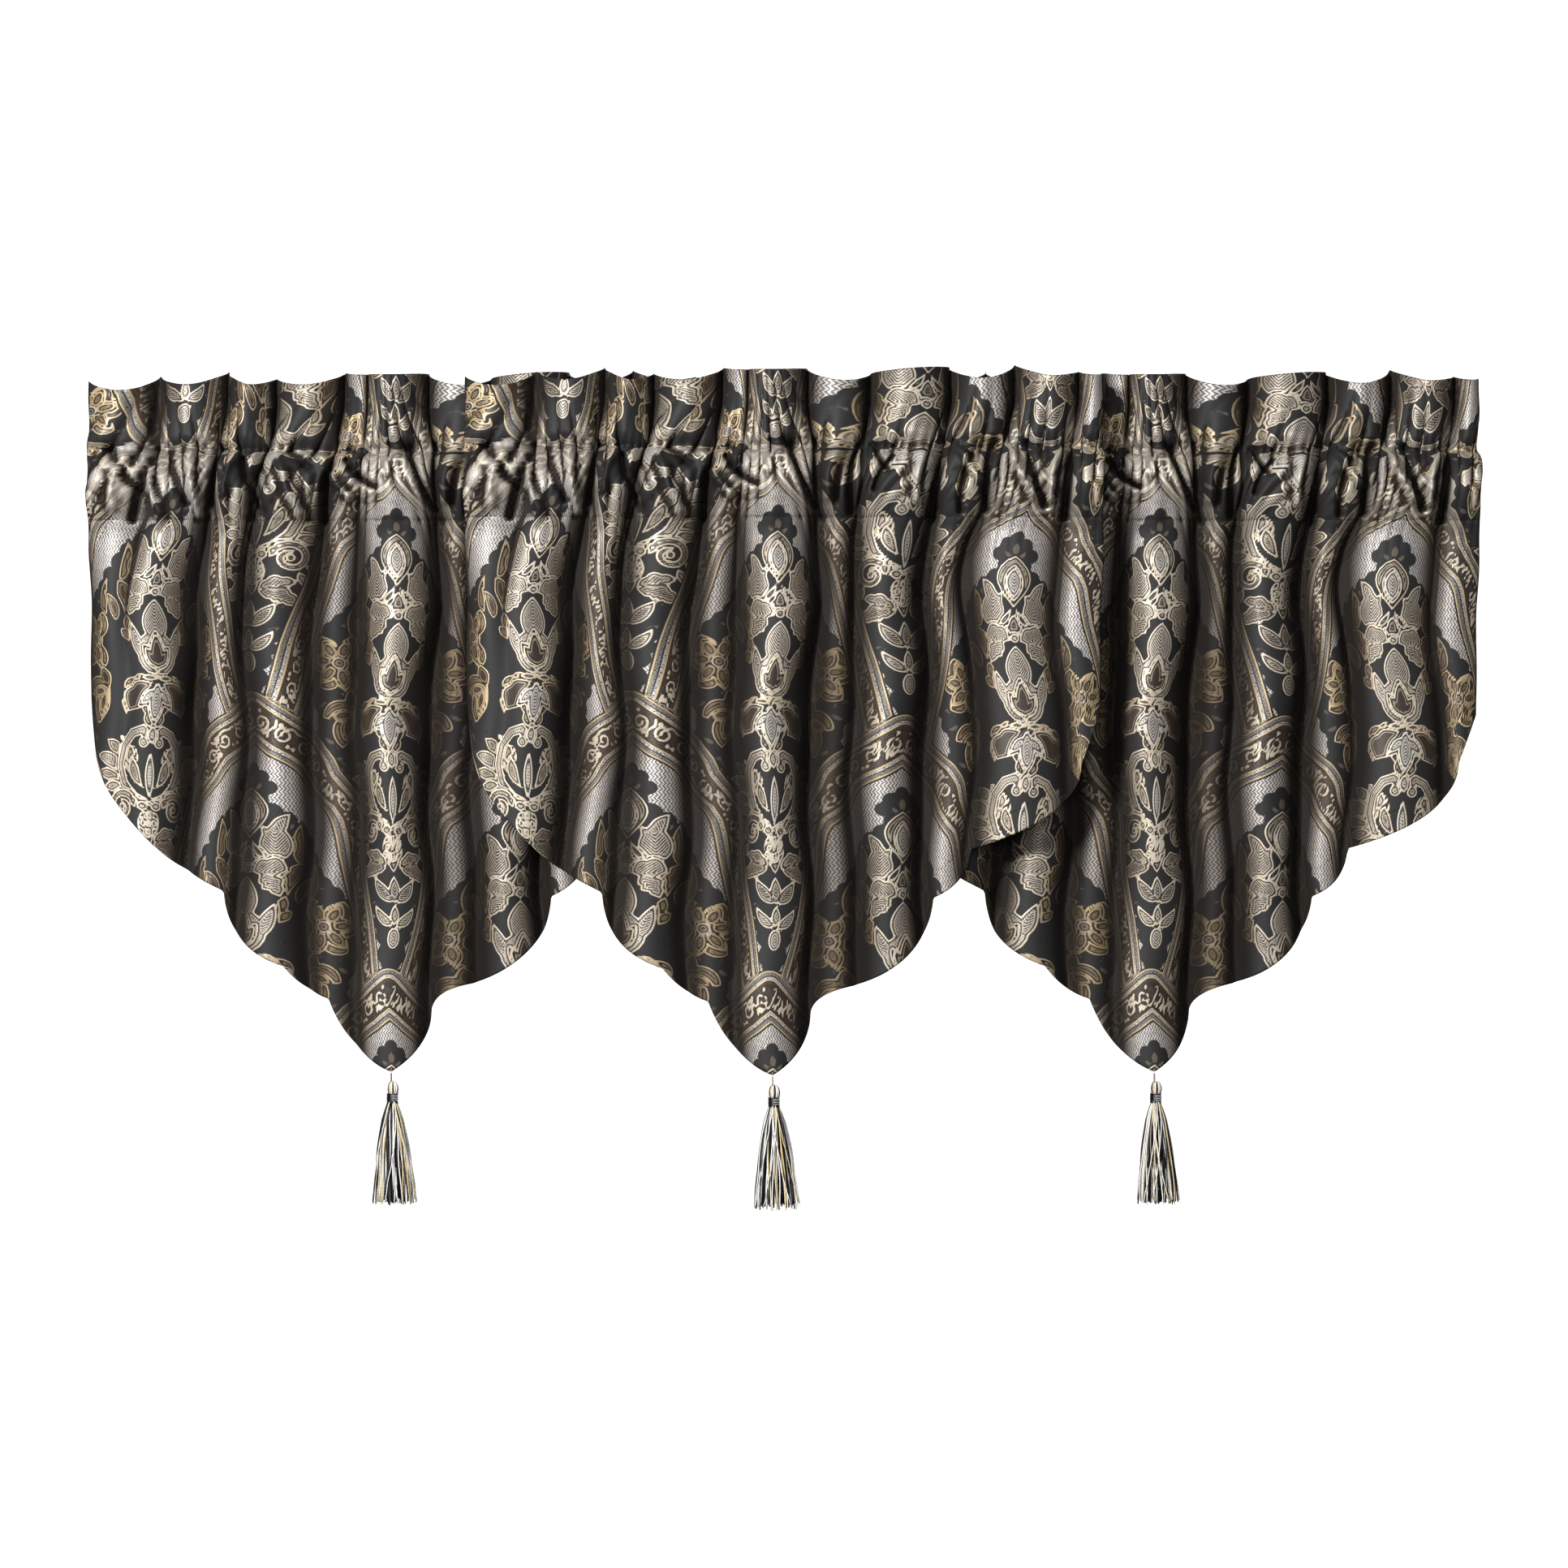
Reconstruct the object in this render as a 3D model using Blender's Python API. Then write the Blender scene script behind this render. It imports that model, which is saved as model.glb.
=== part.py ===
"""Window valance set: three gathered ascot valances hung side by side, the middle one in front.

Each valance is a face panel with a ruffled heading, a facing sewn behind the heading that makes the
rod pocket, and a tassel on a thread loop at the point of its scalloped hem.
Metres, +Z up. The origin is at the top edge of the middle valance, over its point. The room is at -Y.
"""

import math
import random

import bmesh
import bpy
import numpy as np
from mathutils import Matrix, Vector

MM = 0.001

# Driving sizes of one valance
CLOTH_THICK = 1.2 * MM
HEADING_SEAM_Z = -53 * MM
POCKET_SEAM_Z = -104 * MM
PIECE_GAP = 0.3 * MM
FRONT_BULGE = 15 * MM
BACK_BULGE = 12.5 * MM
FACING_FOLLOWS = 0.35
BULGE_ROUNDNESS = 0.7
STEEPEST_SLOPE = 2.0
FOLD_ROUNDNESS = 0.8
TOP_ROUNDNESS = 0.8

# Where the three valances hang
SIDE_SPACING = 279 * MM
SIDE_SETBACK = 40 * MM

# Rows of mesh steps down the cloth
HEADING_STEPS = 2
POCKET_STEPS = 4
BODY_STEPS = 7

# Heights at which the fold table gives its five values
LEVEL_Z = (-20 * MM, -78.5 * MM, -125 * MM, -230 * MM, -380 * MM)

# One row for each fold line, from the left edge to the right edge, in millimetres.
# x and depth are the fold line's place and how far it lies behind the cloth's mean plane at the five
# levels. height is how far the lobe to its right stands forward. cusp and dip are the top edge's
# height on the fold line and on the lobe. steps is the number of mesh steps across the lobe.
FOLDS = (
    dict(name="left_edge", x=(-223, -223, -223, -223, -223), depth=(3, 1, 2, 3, 4),
         height=(8, 4, 8, 9, 8), cusp=-2, dip=-9, steps=3),
    dict(name="outer_left", x=(-172, -174, -188, -194, -200), depth=(9, 3, -4, -10, -10),
         height=(9, 5, 9, 12, 11), cusp=3, dip=-5, steps=5),
    dict(name="deep_left", x=(-122, -131, -139, -147, -149), depth=(12, 4, 14, 15, 10),
         height=(9, 5, 7, 7, 6), cusp=7, dip=-5, steps=4),
    dict(name="narrow_left", x=(-87, -97, -107, -107, -113), depth=(10, 3, 9, 9, 8),
         height=(8, 5, 9, 10, 9), cusp=2, dip=-5, steps=4),
    dict(name="inner_left", x=(-36, -46, -54, -58, -61), depth=(11, 4, 12, 12, 9),
         height=(2, 2, 2, 2, 3), cusp=6, dip=3, steps=3),
    dict(name="centre_left", x=(-18, -22, -26, -26, -27), depth=(-6, 1, 7, 9, 8),
         height=(11, 6, 12, 14, 12), cusp=3, dip=2, steps=6),
    dict(name="centre_right", x=(25, 29, 33, 29, 27), depth=(12, 4, 14, 16, 13),
         height=(8, 5, 4, 4, 4), cusp=5, dip=-5, steps=3),
    dict(name="inner_right", x=(71, 64, 59, 59, 60), depth=(9, 3, 9, 9, 8),
         height=(10, 5, 10, 12, 11), cusp=1, dip=3, steps=4),
    dict(name="deep_right", x=(129, 121, 113, 111, 109), depth=(13, 4, 15, 16, 12),
         height=(9, 5, 4, 5, 5), cusp=6, dip=-4, steps=3),
    dict(name="narrow_right", x=(176, 159, 142, 146, 143), depth=(10, 3, 9, 8, 6),
         height=(9, 5, 9, 12, 11), cusp=8, dip=-2, steps=6),
    dict(name="outer_right", x=(222, 215, 207, 211, 216), depth=(6, 2, 4, 4, 3),
         height=(4, 3, 3, 4, 4), cusp=3, dip=-1, steps=3),
    dict(name="right_edge", x=(239, 239, 239, 239, 239), depth=(3, 1, 2, 2, 2),
         height=(0, 0, 0, 0, 0), cusp=0, dip=0, steps=0),
)

# The hem's scallops from left to right, in millimetres: each is a quadratic curve from its notch,
# pulled out to its belly point, to the next notch.
SCALLOPS = (
    dict(notch=(-223, -235), belly=(-220, -326)),
    dict(notch=(-123, -376), belly=(-120, -416)),
    dict(notch=(-78, -431), belly=(-66, -450)),
    dict(notch=(-46, -455), belly=(-30, -497)),
    dict(notch=(0, -508), belly=(28, -491)),
    dict(notch=(28, -463), belly=(32, -448)),
    dict(notch=(58, -444), belly=(110, -424)),
    dict(notch=(118, -380), belly=(146, -368)),
    dict(notch=(146, -345), belly=(222, -320)),
    dict(notch=(224, -282), belly=(230, -268)),
)
HEM_END = (239, -247)
SCALLOP_SAMPLES = 16
HEM_ROUNDS = 12

# Tassel
LOOP_THREAD = 1.0 * MM
LOOP_WIDTH = 5.4 * MM
LOOP_SHOWING = 4.2 * MM
LOOP_STEPS = 5
EYE_RING = 3.0 * MM
EYE_YARN = 1.75 * MM
NECK_RADIUS = 2.9 * MM
NECK_LENGTH = 9.0 * MM
WRAP_RADIUS = 4.0 * MM
WRAP_LENGTH = 5.6 * MM
WRAP_BELLY = 0.2 * MM
WRAP_DROP = 0.8 * MM
MERGE = 0.01 * MM
SKIRT_ROOT_RADIUS = 3.1 * MM
SKIRT_FOOT_RADIUS = 16.5 * MM
SKIRT_FLARE = 0.55
SKIRT_LEAN = 2.0 * MM
SKIRT_LENGTH = 74 * MM
STRANDS_ACROSS = 6
STRAND_STEPS = 3
STRAND_ROOT_INSET = 0.14 * MM
STRAND_FOOT_WIDTH = 1.5 * MM
STRAND_SWAY = 0.5 * MM
STRAND_UNEVEN = 4 * MM
ROUND_STEPS = 14

VALANCES = (
    dict(name="left", x=-SIDE_SPACING, y=SIDE_SETBACK),
    dict(name="middle", x=0.0, y=0.0),
    dict(name="right", x=SIDE_SPACING, y=SIDE_SETBACK),
)

COLOURS = dict(
    cloth=((0.085, 0.073, 0.064, 1.0), 0.45, 0.35),
    facing=((0.06, 0.055, 0.05, 1.0), 0.7, 0.0),
    yarn=((0.55, 0.53, 0.49, 1.0), 0.45, 0.1),
    wrap=((0.012, 0.012, 0.02, 1.0), 0.4, 0.0),
    thread=((0.6, 0.58, 0.54, 1.0), 0.5, 0.0),
)


def clear_scene():
    for item in list(bpy.data.objects):
        bpy.data.objects.remove(item)


def material(name):
    """The named finish, made once."""
    found = bpy.data.materials.get(name)
    if found:
        return found
    colour, roughness, metallic = COLOURS[name]
    made = bpy.data.materials.new(name)
    made.use_nodes = True
    shader = made.node_tree.nodes["Principled BSDF"]
    shader.inputs["Base Color"].default_value = colour
    shader.inputs["Roughness"].default_value = roughness
    shader.inputs["Metallic"].default_value = metallic
    return made


def object_from(bm, name, finish):
    """Turns a bmesh into a named object with its finish, shaded smooth."""
    mesh = bpy.data.meshes.new(name)
    bm.to_mesh(mesh)
    bm.free()
    mesh.materials.append(material(finish))
    mesh.shade_smooth()
    made = bpy.data.objects.new(name, mesh)
    bpy.context.scene.collection.objects.link(made)
    return made


def at_level(values, z):
    """A fold value at height z: a smooth curve through its five levels, in metres."""
    heights = np.array(LEVEL_Z[::-1])
    known = np.array(values[::-1], float) * MM
    slopes = np.gradient(known, heights)
    place = np.clip(z, heights[0], heights[-1])
    index = np.clip(np.searchsorted(heights, place) - 1, 0, len(heights) - 2)
    step = heights[index + 1] - heights[index]
    t = (place - heights[index]) / step
    start = (2 * t**3 - 3 * t**2 + 1) * known[index] + (t**3 - 2 * t**2 + t) * step * slopes[index]
    end = (3 * t**2 - 2 * t**3) * known[index + 1] + (t**3 - t**2) * step * slopes[index + 1]
    return start + end


def columns():
    """The columns across the cloth, as (fold index, share of the way over its lobe)."""
    places = []
    for index, fold in enumerate(FOLDS[:-1]):
        places += [(index, step / fold["steps"]) for step in range(fold["steps"])]
    return places + [(len(FOLDS) - 2, 1.0)]


def column_x(place, z):
    """How far across the valance a column lies at height z."""
    index, share = place
    left = at_level(FOLDS[index]["x"], z)
    right = at_level(FOLDS[index + 1]["x"], z)
    return left + (right - left) * share


def pocket_share(z):
    """0 at both pocket seams and 1 half way between them."""
    share = (z - POCKET_SEAM_Z) / (HEADING_SEAM_Z - POCKET_SEAM_Z)
    return math.sin(math.pi * min(max(share, 0.0), 1.0)) ** BULGE_ROUNDNESS


def fold_y(place, z):
    """The folds alone: the cloth's depth at a column and height, -Y towards the room."""
    index, share = place
    left = at_level(FOLDS[index]["depth"], z)
    right = at_level(FOLDS[index + 1]["depth"], z)
    line = left + (right - left) * share
    rise = at_level(FOLDS[index]["height"], z) + (left + right) / 2
    return line - rise * math.sin(math.pi * share) ** FOLD_ROUNDNESS


def top_z(place):
    """The top edge: cusps on the fold lines, dips on the lobes."""
    index, share = place
    left, right = FOLDS[index]["cusp"], FOLDS[index + 1]["cusp"]
    line = left + (right - left) * share
    dip = FOLDS[index]["dip"] - (left + right) / 2
    return (line + dip * math.sin(math.pi * share) ** TOP_ROUNDNESS) * MM


def hem_outline():
    """Points along the scalloped hem, left to right, as two arrays of x and z."""
    ends = [row["notch"] for row in SCALLOPS[1:]] + [HEM_END]
    share = np.linspace(0, 1, SCALLOP_SAMPLES, endpoint=False)[:, None]
    pieces = []
    for row, end in zip(SCALLOPS, ends):
        start, belly, finish = np.array(row["notch"]), np.array(row["belly"]), np.array(end)
        pieces.append((1 - share) ** 2 * start + 2 * share * (1 - share) * belly + share**2 * finish)
    points = np.vstack(pieces + [np.array([HEM_END])]) * MM
    return points[:, 0], points[:, 1]


def hem_z(place, outline):
    """The height at which a column meets the hem."""
    z = outline[1].min() * 0.8
    for _ in range(HEM_ROUNDS):
        z = float(np.interp(column_x(place, z), *outline))
    return z


def cloth_rows(place, outline):
    """The heights of one column's points, from the top edge down to the hem."""
    heading = np.linspace(top_z(place), HEADING_SEAM_Z, HEADING_STEPS, endpoint=False)
    pocket = np.linspace(HEADING_SEAM_Z, POCKET_SEAM_Z, POCKET_STEPS, endpoint=False)
    body = np.linspace(POCKET_SEAM_Z, hem_z(place, outline), BODY_STEPS + 1)
    return np.concatenate([heading, pocket, body])


def surface_grid():
    """The face panel's front surface, as arrays of x, y and z with a row for each column."""
    outline = hem_outline()
    grid = []
    for place in columns():
        heights = cloth_rows(place, outline)
        grid.append([(column_x(place, z), fold_y(place, z) - FRONT_BULGE * pocket_share(z), z)
                     for z in heights])
    points = np.array(grid)
    return points[:, :, 0], points[:, :, 1], points[:, :, 2]


def slope_factor(x, y, z):
    """How much longer than its thickness a sheet measures along Y, from the slope of its surface."""
    across = np.gradient(y, axis=0) / np.gradient(x, axis=0)
    down = np.gradient(y, axis=1) / np.gradient(z, axis=1)
    return np.sqrt(1 + np.minimum(across**2 + down**2, STEEPEST_SLOPE**2))


def facing_grid(x, y, z):
    """The facing's front surface: on the panel in the heading, behind the rod in the pocket."""
    rows = HEADING_STEPS + POCKET_STEPS + 1
    factor = slope_factor(x, y, z)
    behind_panel = y + (CLOTH_THICK + PIECE_GAP) * factor
    share = np.vectorize(pocket_share)(z)[:, :rows]
    folds_only = y + FRONT_BULGE * np.vectorize(pocket_share)(z)
    back = np.maximum(FACING_FOLLOWS * folds_only[:, :rows], 0) + BACK_BULGE
    return x[:, :rows], behind_panel[:, :rows] * (1 - share) + back * share, z[:, :rows]


def sheet(name, finish, front, thickness):
    """A closed sheet of cloth from its front surface: a grid, a copy behind it and a rim between them."""
    x, y, z = front
    back_y = y + thickness * slope_factor(x, y, z)
    across, down = x.shape[0] - 1, x.shape[1] - 1
    bm = bmesh.new()
    bmesh.ops.create_grid(bm, x_segments=across, y_segments=down, size=0.5)
    copied = bmesh.ops.duplicate(bm, geom=bm.verts[:] + bm.edges[:] + bm.faces[:])
    behind = {item for item in copied["geom"] if isinstance(item, bmesh.types.BMVert)}
    for vert in bm.verts:
        column = round((vert.co.x + 0.5) * across)
        row = round((0.5 - vert.co.y) * down)
        depth = back_y if vert in behind else y
        vert.co = (x[column, row], depth[column, row], z[column, row])
    bmesh.ops.bridge_loops(bm, edges=[edge for edge in bm.edges if edge.is_boundary])
    bmesh.ops.triangulate(bm, faces=bm.faces[:], quad_method="FIXED")
    bmesh.ops.recalc_face_normals(bm, faces=bm.faces[:])
    return object_from(bm, name, finish)


def thread_loop(name, top_point):
    """The sewn thread loop under the hem's point, edge on to the room, through the tassel's eye."""
    reach = loop_length() - LOOP_WIDTH
    radius = (LOOP_WIDTH - LOOP_THREAD) / 2
    bends = [math.pi * step / LOOP_STEPS for step in range(LOOP_STEPS + 1)]
    upper = [(radius * math.cos(turn), radius * math.sin(turn)) for turn in bends]
    lower = [(-across, -reach - up) for across, up in upper]
    top_z = top_point.z - PIECE_GAP - LOOP_WIDTH / 2
    curve = bpy.data.curves.new(name, "CURVE")
    curve.dimensions = "3D"
    curve.bevel_depth = LOOP_THREAD / 2
    curve.bevel_resolution = 1
    line = curve.splines.new("POLY")
    line.points.add(len(upper) + len(lower) - 1)
    for point, (across, up) in zip(line.points, upper + lower):
        point.co = (top_point.x, top_point.y + across, top_z + up, 1.0)
    line.use_cyclic_u = True
    curve.materials.append(material("thread"))
    made = bpy.data.objects.new(name, curve)
    bpy.context.scene.collection.objects.link(made)
    return made


def loop_length():
    """From the hem's point to the bottom of the thread that runs through the eye."""
    over_the_yarn = 2 * EYE_YARN + 2 * PIECE_GAP
    return LOOP_SHOWING + over_the_yarn + 2 * LOOP_THREAD


def eye_centre_z(top_z):
    """The middle of the tassel's eye, with the loop's thread lying under the eye's upper yarn."""
    thread_middle = top_z - PIECE_GAP - loop_length() + LOOP_THREAD / 2
    return thread_middle + PIECE_GAP + LOOP_THREAD / 2 - (EYE_RING - EYE_YARN)


def disc_point(across, along, radius):
    """A point of a unit square moved to the disc of that radius."""
    return (radius * across * math.sqrt(1 - along**2 / 2), radius * along * math.sqrt(1 - across**2 / 2))


def tassel(name, top_point, seed):
    """Eye, neck and skirt of one tassel: the strands hang apart from roots fused in the neck."""
    chance = random.Random(seed)
    neck_top = eye_centre_z(top_point.z) - EYE_RING
    bm = bmesh.new()
    bmesh.ops.create_grid(bm, x_segments=STRANDS_ACROSS, y_segments=STRANDS_ACROSS, size=1.0)
    for vert in bm.verts:
        x, y = disc_point(vert.co.x, vert.co.y, SKIRT_ROOT_RADIUS)
        vert.co = (top_point.x + x, top_point.y + y, neck_top - NECK_LENGTH)
    roots = bm.faces[:]
    rim = [edge for edge in bm.edges if edge.is_boundary]
    raised = bmesh.ops.extrude_edge_only(bm, edges=rim)["geom"]
    shrink = NECK_RADIUS / SKIRT_ROOT_RADIUS
    for vert in (item for item in raised if isinstance(item, bmesh.types.BMVert)):
        x, y = vert.co.x - top_point.x, vert.co.y - top_point.y
        vert.co = (top_point.x + x * shrink, top_point.y + y * shrink, neck_top)
    bmesh.ops.contextual_create(bm, geom=[item for item in raised if isinstance(item, bmesh.types.BMEdge)])
    bmesh.ops.recalc_face_normals(bm, faces=bm.faces[:])
    bmesh.ops.inset_individual(bm, faces=roots, thickness=STRAND_ROOT_INSET)
    for face in roots:
        hang_strand(bm, face, top_point, chance)
    bmesh.ops.triangulate(bm, faces=bm.faces[:])
    bmesh.ops.recalc_face_normals(bm, faces=bm.faces[:])
    made = object_from(bm, name, "yarn")
    join = made.modifiers.new("eye", "BOOLEAN")
    join.operation = "UNION"
    join.object = eye_ring(name + "_eye_form", top_point)
    return made


def hang_strand(bm, face, top_point, chance):
    """One strand: its root face drawn down in steps, outwards and a little wavy."""
    root = face.calc_center_median()
    away = Vector((root.x - top_point.x, root.y - top_point.y, 0)) / SKIRT_ROOT_RADIUS
    foot = away * SKIRT_FOOT_RADIUS
    length = SKIRT_LENGTH - STRAND_UNEVEN * chance.random() * min(away.length, 1.0)
    sway = Vector((chance.uniform(-1, 1), chance.uniform(-1, 1), 0)) * STRAND_SWAY
    grow = STRAND_FOOT_WIDTH / math.sqrt(face.calc_area())
    start = [vert.co - root for vert in face.verts]
    tip = face
    for step in range(1, STRAND_STEPS + 1):
        share = step / STRAND_STEPS
        centre = root + (foot - away * SKIRT_ROOT_RADIUS) * share**SKIRT_FLARE
        centre += sway * math.sin(math.pi * share) + Vector((SKIRT_LEAN * share, 0, -length * share))
        tip = bmesh.ops.extrude_discrete_faces(bm, faces=[tip])["faces"][0]
        width = 1 + (grow - 1) * share
        for vert, offset in zip(tip.verts, start):
            vert.co = centre + offset * width


def eye_ring(name, top_point):
    """The yarn turned over the thread loop: an upright ring, sunk a little into the neck."""
    turn = Matrix.Rotation(math.pi / 2, 4, "X")
    place = Vector((top_point.x, top_point.y, eye_centre_z(top_point.z)))
    bm = bmesh.new()
    circle = bmesh.ops.create_circle(bm, segments=8, radius=EYE_YARN,
                                     matrix=Matrix.Translation((EYE_RING, 0, 0)) @ turn)
    bmesh.ops.spin(bm, geom=circle["verts"] + bm.edges[:], axis=(0, 0, 1), cent=(0, 0, 0),
                   steps=ROUND_STEPS, angle=2 * math.pi, use_merge=True)
    bmesh.ops.remove_doubles(bm, verts=bm.verts[:], dist=MERGE)
    bmesh.ops.transform(bm, matrix=Matrix.Translation(place) @ turn, verts=bm.verts[:])
    bmesh.ops.recalc_face_normals(bm, faces=bm.faces[:])
    made = object_from(bm, name, "yarn")
    made.hide_render = True
    made.display_type = "WIRE"
    return made


def wrap(name, top_point):
    """The black thread wrap round the neck: a sleeve with a soft belly."""
    inner = SKIRT_ROOT_RADIUS + PIECE_GAP
    middle = eye_centre_z(top_point.z) - EYE_RING - NECK_LENGTH / 2 - WRAP_DROP
    half = WRAP_LENGTH / 2
    shoulder = WRAP_RADIUS - WRAP_BELLY
    section = ((inner, half), (shoulder, half), (WRAP_RADIUS, 0), (shoulder, -half), (inner, -half))
    bm = bmesh.new()
    verts = [bm.verts.new((top_point.x + radius, top_point.y, middle + up)) for radius, up in section]
    for first, second in zip(verts, verts[1:] + verts[:1]):
        bm.edges.new((first, second))
    bmesh.ops.spin(bm, geom=bm.verts[:] + bm.edges[:], axis=(0, 0, 1), cent=(top_point.x, top_point.y, 0),
                   steps=ROUND_STEPS, angle=2 * math.pi, use_merge=True)
    bmesh.ops.remove_doubles(bm, verts=bm.verts[:], dist=MERGE)
    bmesh.ops.recalc_face_normals(bm, faces=bm.faces[:])
    return object_from(bm, name, "wrap")


def hem_point(panel_grid, offset):
    """The lowest point of the hem, in the middle of the cloth's thickness."""
    x, y, z = panel_grid
    lowest = int(np.argmin(z[:, -1]))
    middle = y[lowest, -1] + CLOTH_THICK / 2
    return Vector((x[lowest, -1] + offset.x, middle + offset.y, z[lowest, -1]))


def valance(name, offset, seed):
    """One ascot valance with its facing and its tassel."""
    grid = surface_grid()
    panel = sheet(name + "_panel", "cloth", grid, CLOTH_THICK)
    facing = sheet(name + "_facing", "facing", facing_grid(*grid), CLOTH_THICK)
    for piece in (panel, facing):
        piece.location = offset
    point = hem_point(grid, offset)
    thread_loop(name + "_loop", point)
    tassel(name + "_tassel", point, seed)
    wrap(name + "_wrap", point)


clear_scene()
for number, row in enumerate(VALANCES):
    valance(row["name"], Vector((row["x"], row["y"], 0.0)), number)
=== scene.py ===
import math
import random

import bmesh
import bpy
import numpy as np
from mathutils import Matrix, Vector


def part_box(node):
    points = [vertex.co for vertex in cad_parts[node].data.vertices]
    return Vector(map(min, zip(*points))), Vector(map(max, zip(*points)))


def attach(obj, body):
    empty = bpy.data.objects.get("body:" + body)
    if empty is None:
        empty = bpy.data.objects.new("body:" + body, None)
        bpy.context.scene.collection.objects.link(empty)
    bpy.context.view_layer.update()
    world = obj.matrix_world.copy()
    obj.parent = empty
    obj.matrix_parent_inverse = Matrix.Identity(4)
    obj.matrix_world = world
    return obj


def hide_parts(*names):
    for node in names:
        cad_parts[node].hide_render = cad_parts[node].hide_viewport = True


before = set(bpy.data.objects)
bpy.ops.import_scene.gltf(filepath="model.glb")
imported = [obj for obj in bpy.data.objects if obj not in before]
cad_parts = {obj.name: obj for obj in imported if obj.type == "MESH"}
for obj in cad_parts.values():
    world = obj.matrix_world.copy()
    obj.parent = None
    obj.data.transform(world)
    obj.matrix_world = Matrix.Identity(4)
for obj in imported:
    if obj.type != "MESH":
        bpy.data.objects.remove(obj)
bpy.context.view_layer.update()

MM = 0.001

# Sizes, the same as the solids'
CLOTH_THICK = 1.2 * MM
HEADING_SEAM_Z = -53 * MM
POCKET_SEAM_Z = -104 * MM
FRONT_BULGE = 15 * MM
BACK_BULGE = 12.5 * MM
FACING_FOLLOWS = 0.35
BULGE_ROUNDNESS = 0.7
FOLD_ROUNDNESS = 0.8
TOP_ROUNDNESS = 0.8
SIDE_SPACING = 279 * MM
SIDE_SETBACK = 40 * MM

LEVEL_Z = (-20 * MM, -78.5 * MM, -125 * MM, -230 * MM, -380 * MM)

# Fold lines from left to right in millimetres, as in the solids: place and depth at the five levels,
# how far the lobe to the right stands forward, and the top edge's height on the line and on the lobe.
# flat is the fold's place on the flat cloth, tuck how tightly it is nipped and shade how far the lobe
# to its right lies in the shadow of its neighbours.
FOLDS = (
    dict(name="left_edge", x=(-223, -223, -223, -223, -223), depth=(3, 1, 2, 3, 4),
         height=(8, 4, 8, 9, 8), cusp=-2, dip=-9, flat=-302, tuck=0.0, shade=0.0),
    dict(name="outer_left", x=(-172, -174, -188, -194, -200), depth=(9, 3, -4, -10, -10),
         height=(9, 5, 9, 12, 11), cusp=3, dip=-5, flat=-262, tuck=0.5, shade=0.0),
    dict(name="deep_left", x=(-122, -131, -139, -147, -149), depth=(12, 4, 14, 15, 10),
         height=(9, 5, 7, 7, 6), cusp=7, dip=-5, flat=-192, tuck=1.0, shade=0.1),
    dict(name="narrow_left", x=(-87, -97, -107, -107, -113), depth=(10, 3, 9, 9, 8),
         height=(8, 5, 9, 10, 9), cusp=2, dip=-5, flat=-125, tuck=0.5, shade=0.0),
    dict(name="inner_left", x=(-36, -46, -54, -58, -61), depth=(11, 4, 12, 12, 9),
         height=(2, 2, 2, 2, 3), cusp=6, dip=3, flat=-76, tuck=1.0, shade=0.2),
    dict(name="centre_left", x=(-18, -22, -26, -26, -27), depth=(-6, 1, 7, 9, 8),
         height=(11, 6, 12, 14, 12), cusp=3, dip=2, flat=-43, tuck=0.5, shade=0.0),
    dict(name="centre_right", x=(25, 29, 33, 29, 27), depth=(12, 4, 14, 16, 13),
         height=(8, 5, 4, 4, 4), cusp=5, dip=-5, flat=47, tuck=1.0, shade=0.3),
    dict(name="inner_right", x=(71, 64, 59, 59, 60), depth=(9, 3, 9, 9, 8),
         height=(10, 5, 10, 12, 11), cusp=1, dip=3, flat=80, tuck=0.9, shade=0.0),
    dict(name="deep_right", x=(129, 121, 113, 111, 109), depth=(13, 4, 15, 16, 12),
         height=(9, 5, 4, 5, 5), cusp=6, dip=-4, flat=140, tuck=1.0, shade=0.1),
    dict(name="narrow_right", x=(176, 159, 142, 146, 143), depth=(10, 3, 9, 8, 6),
         height=(9, 5, 9, 12, 11), cusp=8, dip=-2, flat=192, tuck=0.4, shade=0.0),
    dict(name="outer_right", x=(222, 215, 207, 211, 216), depth=(6, 2, 4, 4, 3),
         height=(4, 3, 3, 4, 4), cusp=3, dip=-1, flat=276, tuck=0.8, shade=0.0),
    dict(name="right_edge", x=(239, 239, 239, 239, 239), depth=(3, 1, 2, 2, 2),
         height=(0, 0, 0, 0, 0), cusp=0, dip=0, flat=312, tuck=0.0, shade=0.0),
)

SCALLOPS = (
    dict(notch=(-223, -235), belly=(-220, -326)),
    dict(notch=(-123, -376), belly=(-120, -416)),
    dict(notch=(-78, -431), belly=(-66, -450)),
    dict(notch=(-46, -455), belly=(-30, -497)),
    dict(notch=(0, -508), belly=(28, -491)),
    dict(notch=(28, -463), belly=(32, -448)),
    dict(notch=(58, -444), belly=(110, -424)),
    dict(notch=(118, -380), belly=(146, -368)),
    dict(notch=(146, -345), belly=(222, -320)),
    dict(notch=(224, -282), belly=(230, -268)),
)
HEM_END = (239, -247)
SCALLOP_SAMPLES = 16
HEM_ROUNDS = 14

# Fine surface
ACROSS_PITCH = 1.6 * MM
HEADING_ROWS = 34
POCKET_ROWS = 42
BODY_ROWS = 168
# How far the weave's rows fall towards the right, as a slope
GRAIN_DROP = 0.075
HEM_TURNING = 15 * MM
SIDE_TURNING = 12 * MM

CREASE_STRENGTH = 2.3
# Pitch and relief in millimetres of the gathers' tents, of the knots on the seam and of the pocket's ridges
TENT_PITCH = 16.5
TENT_RELIEF = 10.0
KNOT_PITCH = 6.4
KNOT_RELIEF = 5.0
POCKET_PITCH = 14.5
POCKET_RELIEF = 3.2
# Depth in millimetres of the tucks in the heading
HEADING_TUCK = 13
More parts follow.
